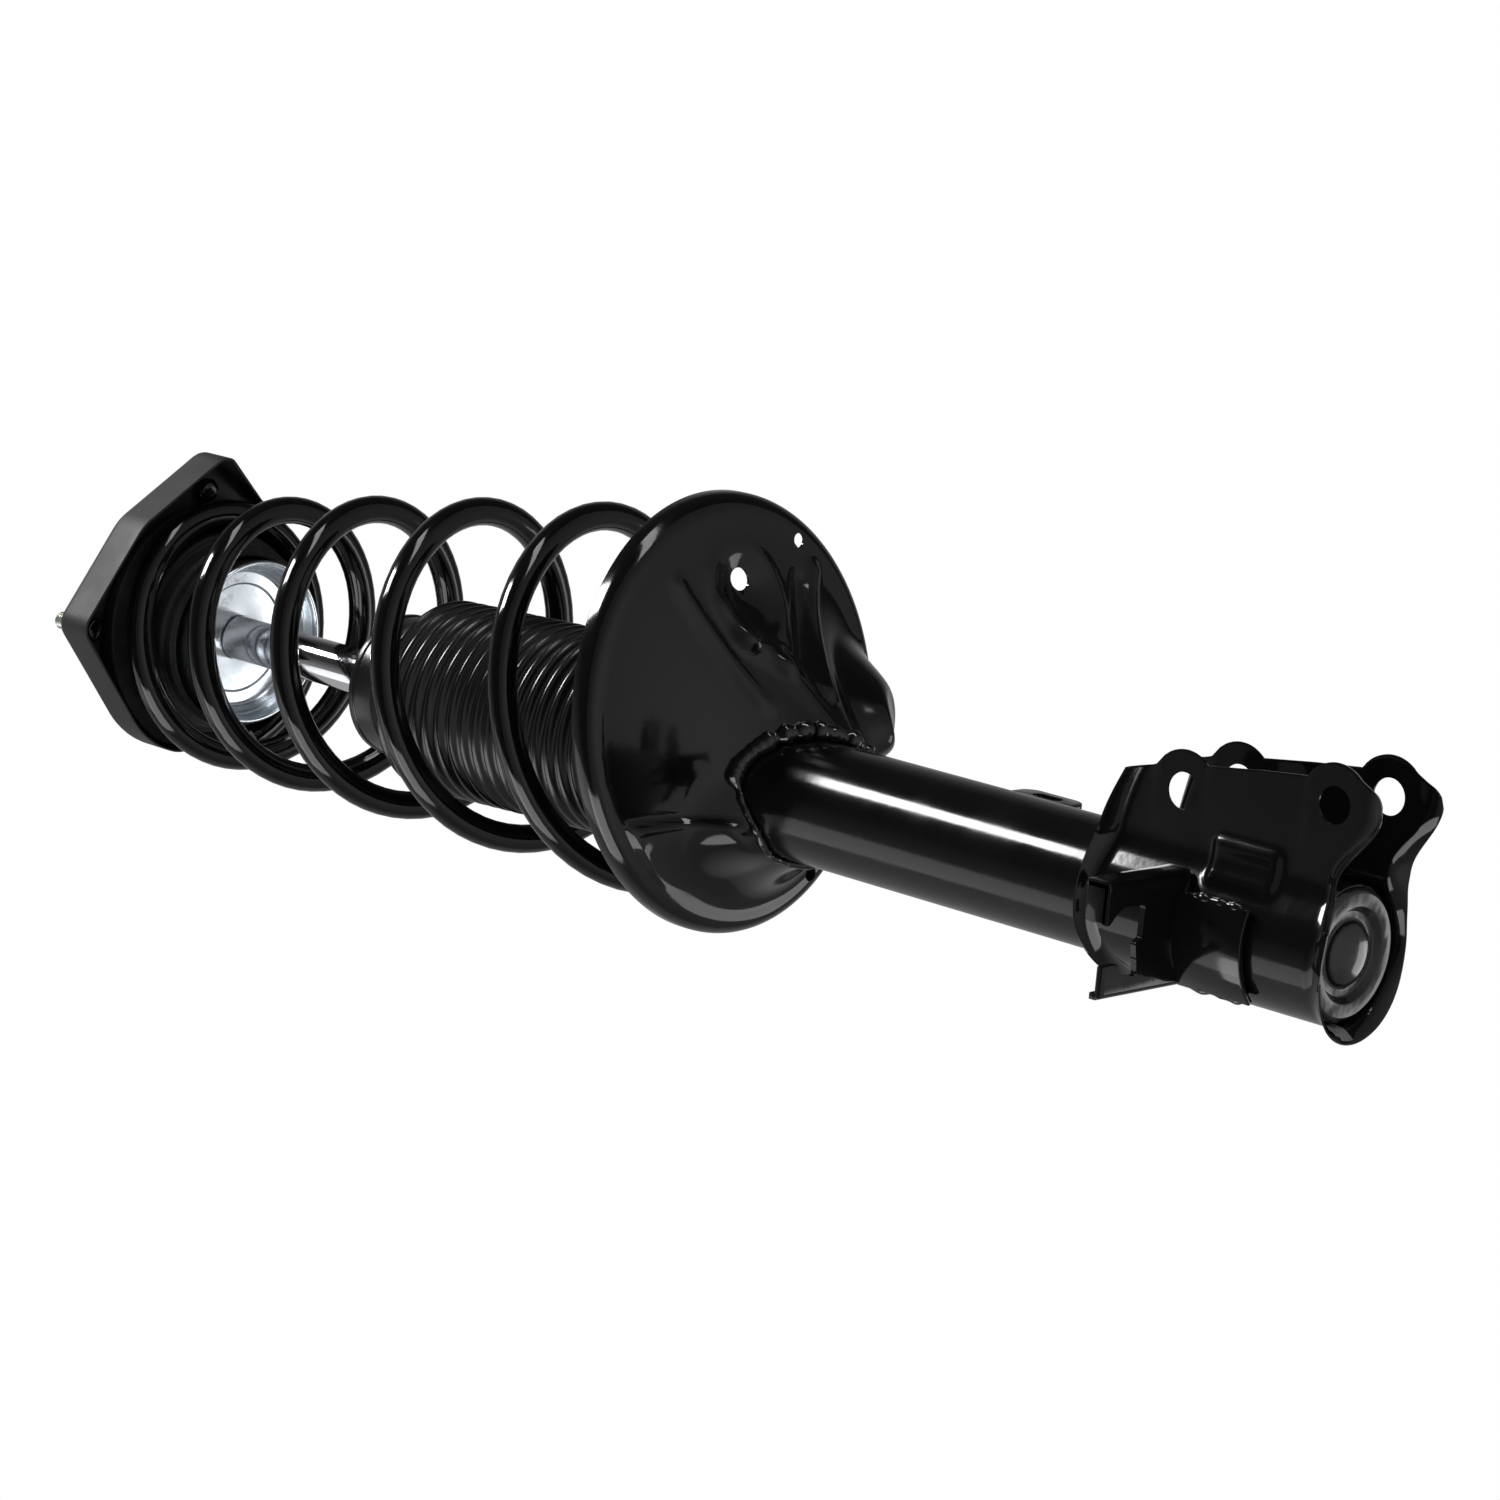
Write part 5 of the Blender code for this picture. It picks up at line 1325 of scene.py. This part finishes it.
def makeCap():
    face, floor, tip, ring = cap["face"], cap["ringFloor"], cap["domeTip"], cap["ringRadius"]
    radius, outer, foot = cap["domeRadius"], tube["radius"], tube["bottom"] - 0.3
    points = []
    for step in range(9):
        angle = math.pi / 2.0 * step / 8
        rise = (floor - tip) * (1.0 - math.cos(angle))
        points.append((radius * math.sin(angle), tip + rise, 0.0))
    points += [
        (radius + 0.9, floor + 0.3, 0.8), (ring - 0.8, floor + 0.3, 1.0),
        (ring + 1.2, face, 0.9), (outer - 1.8, face, 1.8), (outer, face + 1.6, 1.4),
        (outer, foot, 0.3), (cap["plug"], foot, 0.0), (cap["plug"], cap["plugTop"], 0.4),
        (0.0, cap["plugTop"], 0.0),
    ]
    piece = turned("tubeCap", softened(points, False, 4), 144)
    finishPiece(piece, "lower_strut", "capBlack", ("bottom_cap",), 50.0)


makeTube()
makeCap()
print("tube and cap made")


# knuckle bracket: one sheet wrapped round the tube, with two ears

bracket = {
    "sheet": 3.2,
    "wrap": 27.3,
    "earMiddle": 16.6,
    "footX": 29.97,
    "wrapStart": 66.0,
    "topZ": -553.4,
    "topFall": 9.0,
    "topBackFall": 7.0,
    "bottomZ": -664.6,
    "bottomFall": 13.7,
    "bottomTilt": 0.10,
    "flareWidth": 8.0,
    "flareTop": 4.5,
    "flareBottom": 2.2,
    "bendExtra": 4.0,
    "backExtra": 2.5,
    "lobe": 15.5,
    "upperBolt": (47.9, -587.6),
    "lowerBolt": (57.0, -655.8),
    "boltHole": 7.0,
    "boltRim": ((15.0, 0.9), (15.7, 0.0), (17.5, 0.0), (18.2, 0.9), (24.0, 0.9)),
    # where the near ear's edge takes the lighter finish, partly bare steel and partly a painted
    # highlight
    "bareAndLitEdge": (-14.0, -640.0),
    "topCorner": (50.5, -560.0),
    "web": (62.7, -621.0),
    "foot": (57.0, -669.8, 8.5),
    "emboss": (21.0, 32.0, -633.0, -608.0),
    "embossHeight": 2.2,
    "embossSide": 5.0,
    "earColumns": 28,
    "bendColumns": 20,
    "wrapColumns": 30,
    "edgeRows": 8,
    "middleRows": 70,
}


def arcPoints(centre, radius, start, end, steps):
    points = []
    for step in range(steps + 1):
        x, y = onCircle(radius, math.radians(start + (end - start) * step / steps))
        points.append((centre[0] + x, centre[1] + y))
    return points


def edgeArc(centre, radius, *turn):
    return [(*spot, 0.0) for spot in arcPoints(centre, radius, *turn)]


def earEdgeStops():
    # the ears' free edge from its foot up, as (height, reach)
    x, z = bracket["topCorner"]
    line = [(x, z + 12.0, 0.0), (x, z, 2.0), (x + 2.0, z - 4.0, 2.0)]
    line += edgeArc(bracket["upperBolt"], bracket["lobe"], 62, -42, 16)
    line.append((*bracket["web"], 28.0))
    line += edgeArc(bracket["lowerBolt"], bracket["lobe"], 58, -45, 16)
    footX, footZ, footRadius = bracket["foot"]
    line += edgeArc((footX, footZ), footRadius, -20, -90, 8)
    return sorted((spot[1], spot[0]) for spot in softened(line, False, 8))


def bracketTop(x):
    start = tube["radius"] * math.cos(math.radians(bracket["wrapStart"]))
    reach = max(0.0, (x - start) / (bracket["topCorner"][0] - start))
    behind = max(0.0, -x / tube["radius"])
    return bracket["topZ"] - bracket["topFall"] * reach**2 - bracket["topBackFall"] * behind**2


def bracketBottom(x, y):
    reach = (x - bracket["footX"]) / (bracket["foot"][0] - bracket["footX"])
    tilt = bracket["bottomTilt"] * y * (1.0 - smoothStep((x - 8.0) / 22.0))
    return bracket["bottomZ"] - bracket["bottomFall"] * smoothStep(reach) + tilt


def bracketShift(x, y, z, top, bottom):
    # how far the sheet stands out from the wrap: turned edges and the raised panel
    bend = bumpShape(abs(x - bracket["footX"]), tube["radius"])
    extra = bracket["bendExtra"] * bend
    back = bracket["backExtra"] * smoothStep(-x / tube["radius"])
    nearTop = max(0.0, 1.0 - (top - z) / bracket["flareWidth"])
    nearBottom = max(0.0, 1.0 - (z - bottom) / bracket["flareWidth"])
    less = 1.5 * bend if y < 0.0 else 0.0
    shift = (bracket["flareTop"] + extra - less) * nearTop**2
    shift += (bracket["flareBottom"] + back + extra) * nearBottom**2
    x0, x1, z0, z1 = bracket["emboss"]
    aside = math.hypot(max(x0 - x, x - x1, 0.0), max(z0 - z, z - z1, 0.0))
    return shift + bracket["embossHeight"] * bumpShape(aside, bracket["embossSide"])


def makeBracket():
    stops = earEdgeStops()
    wrap, middle, footX = bracket["wrap"], bracket["earMiddle"], bracket["footX"]
    start = math.radians(bracket["wrapStart"])
    join = Vector(onCircle(wrap, -start))
    leaving = Vector((-math.sin(start), -math.cos(start)))
    foot = Vector((footX, -middle))
    handle = 0.4 * (foot - join).length
    controls = (foot, foot + Vector((-handle, 0.0)), join - leaving * handle, join)
    ears, bends, wraps = bracket["earColumns"], bracket["bendColumns"], bracket["wrapColumns"]
    half = ears + bends + wraps

    def bendAt(share):
        rest = 1.0 - share
        spot = controls[0] * rest**3 + controls[1] * 3.0 * rest**2 * share
        spot += controls[2] * 3.0 * rest * share**2 + controls[3] * share**3
        line = (controls[1] - controls[0]) * rest**2
        line += (controls[2] - controls[1]) * 2.0 * rest * share
        line += (controls[3] - controls[2]) * share**2
        line.normalize()
        return spot, Vector((-line.y, line.x))

    edgeRows, middleRows = bracket["edgeRows"], bracket["middleRows"]
    rows = 2 * edgeRows + middleRows
    width = bracket["flareWidth"]

    def heightOf(row, x, y):
        top, bottom = bracketTop(x), bracketBottom(x, y)
        if row <= edgeRows:
            z = top - width * row / edgeRows
        elif row >= rows - edgeRows:
            z = bottom + width * (rows - row) / edgeRows
        else:
            share = (row - edgeRows) / middleRows
            z = (top - width) + (bottom - top + 2.0 * width) * share
        return z, top, bottom

    def bracketPlace(column, row):
        side = -1.0 if column <= half else 1.0
        step = column if column <= half else 2 * half - column
        if step <= ears:
            x = footX
            for _ in range(5):
                z, top, bottom = heightOf(row, x, side * middle)
                reach = along(stops, z)
                x = reach + (footX - reach) * step / ears
            spot, outward = Vector((x, -middle)), Vector((0.0, -1.0))
        elif step <= ears + bends:
            spot, outward = bendAt((step - ears) / bends)
        else:
            angle = -start - (math.pi - start) * (step - ears - bends) / wraps
            outward = Vector(onCircle(1.0, angle))
            spot = outward * wrap
        z, top, bottom = heightOf(row, spot.x, side * abs(spot.y))
        spot = spot + outward * bracketShift(spot.x, side, z, top, bottom)
        return spot.x, spot.y * -side, z

    piece = shapedGrid("knuckleBracket", 2 * half, rows, bracketPlace)
    thicken(piece, bracket["sheet"], 0.0, 2.0, True)
    piece.data.materials.append(skins["glossBlack"])
    piece.data.materials.append(skins["cutEdgeAndHighlight"])
    # the near ear's sheared edge takes a lighter metal finish: partly bare steel, partly a
    # painted highlight of the lit edge, so only the near ear gets it
    bareLitFrom, bareLitBelow = bracket["bareAndLitEdge"]
    for face in piece.data.polygons:
        spot, facing = face.center / mm, face.normal
        lower = facing.z < -0.6 and spot.x > bareLitFrom
        end = facing.x > 0.7 and spot.z < bareLitBelow
        if (lower or end) and spot.y < 0.0 and abs(facing.y) < 0.5:
            face.material_index = 1
    softEdges(piece, 0.6, 2, 50.0)
    side = [(bracket["boltHole"] + wider, away) for away, wider in bracket["boltRim"]]
    side.append((0.0, side[-1][1]))
    profile = [(reach, -away) for reach, away in reversed(side)] + side
    for x, z in (bracket["upperBolt"], bracket["lowerBolt"]):
        drill = turned("boltDrill", profile, 64)
        turnAxes(drill, (0, 2, 1))
        combine(piece, moved(drill, x, 0.0, z))
    finishPiece(piece, "lower_strut", None, ("knuckle_bracket",), 32.0)


makeBracket()
print("knuckle bracket made")


# hose bracket: strap on the wrapped sheet, folded arm with a slot and a hook

hose = {
    "sheet": 2.5,
    "strapInner": 29.2,
    "strapZ": (-632.0, -598.0),
    "strapAngles": (-64.0, -137.0),
    "armZ": -600.5,
    "reach": 70.0,
    "x": (-22.7, 21.2),
    "flangeTop": -589.6,
    "lipTop": -595.6,
    "bend": 3.2,
    "rows": 18,
    "hookFrom": 5.4,
    "slot": (
        # slot with its mouth, seen from below
        (-10.0, -80.0, 0.0), (5.4, -80.0, 0.0), (5.4, -68.4, 0.8), (9.3, -64.4, 1.5),
        (11.3, -61.0, 2.0), (11.5, -56.6, 2.0), (11.0, -48.6, 1.5), (-1.4, -48.8, 1.0),
        (-3.2, -52.2, 1.0), (-9.6, -50.8, 0.8), (-10.0, -60.8, 0.8),
    ),
    "notch": (
        (-15.6, -49.9, 1.0), (-14.3, -60.5, 1.0), (-9.2, -61.2, 0.3), (-9.2, -50.8, 0.3),
    ),
}


def makeHoseBracket():
    inner, sheet = hose["strapInner"], hose["sheet"]
    first, last = hose["strapAngles"]
    outline = arcPoints((0.0, 0.0), inner, first, last, 40)
    outline += arcPoints((0.0, 0.0), inner + sheet, last, first, 40)
    strap = cutPlate("hoseStrap", outline, *hose["strapZ"])
    softEdges(strap, 0.6, 3)

    low, high = hose["x"]
    floor = hose["armZ"]
    section = softened([
        (low, hose["lipTop"], 0.0), (low, floor, hose["bend"]),
        (high, floor, hose["bend"]), (high, hose["flangeTop"], 0.0),
    ], False, 6)
    flat = []
    for before, after in zip(section, section[1:]):
        pieces = max(1, round(math.dist(before, after) / 2.5))
        for step in range(pieces):
            share = step / pieces
            flat.append([a + (b - a) * share for a, b in zip(before, after)])
    flat.append(section[-1])

    def armPlace(column, row):
        x, z = flat[column]
        root = -math.sqrt((inner + sheet / 2.0) ** 2 - x * x)
        return x, root + (-hose["reach"] - root) * row / hose["rows"], z

    arm = shapedGrid("hoseArm", len(flat) - 1, hose["rows"], armPlace)
    thicken(arm, sheet, -1.0, 0.0, False)
    softEdges(arm, 0.5, 2, 50.0)
    for label in ("slot", "notch"):
        tool = cutPlate("armCutter", softened(hose[label], True, 5), floor - 2.0, floor + 4.0)
        combine(arm, tool)

    start, end, foot, top = hose["hookFrom"], high - 0.4, floor + 0.6, hose["flangeTop"]
    wall = [(start, foot, 0.5), (end, foot, 0.5), (end, top, 1.0), (start, top, 2.5)]
    hook = cutPlate("hoseHook", softened(wall, True, 5), -hose["reach"], -hose["reach"] + sheet)
    turnAxes(hook, (0, 2, 1))
    softEdges(hook, 0.5, 2, 50.0)
    piece = joinPieces([strap, arm, hook])
    piece.name = "hoseBracket"
    finishPiece(piece, "lower_strut", "glossBlack", ("hose_bracket",), 35.0)


makeHoseBracket()


# line tab: slotted plate welded to the tube

tab = {
    "x": (18.0, 20.5), "z": (-505.0, -474.0), "foot": 18.8, "reach": 33.0, "corner": 8.0,
    "slot": (22.9, 28.9, -496.5, -482.5),
}


def makeTab():
    low, high = tab["z"]
    outline = [
        (tab["foot"], low, 0.5), (tab["reach"], low, tab["corner"]),
        (tab["reach"], high, tab["corner"]), (tab["foot"], high, 0.5),
    ]
    piece = cutPlate("lineTab", softened(outline, True, 8), *tab["x"])
    y0, y1, z0, z1 = tab["slot"]
    hole = [(y0, z0, 2.9), (y1, z0, 2.9), (y1, z1, 2.9), (y0, z1, 2.9)]
    softEdges(piece, 0.5, 2, 50.0)
    combine(piece, cutPlate("tabSlot", softened(hole, True, 8), 10.0, 30.0))
    turnAxes(piece, (2, 0, 1))
    finishPiece(piece, "lower_strut", "glossBlack", ("line_tab",), 35.0)


makeTab()


# weld beads where the straps, the tab and the cap meet the tube

welds = {
    "strap": (range(-629, -601), 1.7),
    "tab": (range(-503, -476), 1.4),
    "tabSpread": 1.7,
    "cap": (160, 0.9),
}


def makeWelds():
    beads = []
    heights, size = welds["strap"]
    for number, angle in enumerate(hose["strapAngles"]):
        spot = onCircle(hose["strapInner"] + 1.2, math.radians(angle))
        line = [(*spot, z) for z in heights]
        beads.append(beadAlong(f"strapBead{number}", line, size, 2.0 + number, 10, False))
    heights, size = welds["tab"]
    for number, shift in enumerate((-1.0, 1.0)):
        x = sum(tab["x"]) / 2.0 + shift * welds["tabSpread"]
        y = math.sqrt(tube["radius"] ** 2 - x * x) + 0.4
        line = [(x, y, z) for z in heights]
        beads.append(beadAlong(f"tabBead{number}", line, size, 7.0 + number, 10, False))
    count, size = welds["cap"]
    rim = []
    for step in range(count):
        spot = onCircle(tube["radius"] - 0.2, math.radians(360.0 * step / count))
        rim.append((*spot, tube["bottom"] - 0.1))
    beads.append(beadAlong("capBead", rim, size, 11.0, 8))
    piece = joinPieces(beads)
    piece.name = "strutWelds"
    finishPiece(piece, "lower_strut", "weldBlack", (), 60.0)


makeWelds()
print("hose bracket, tab and welds made")
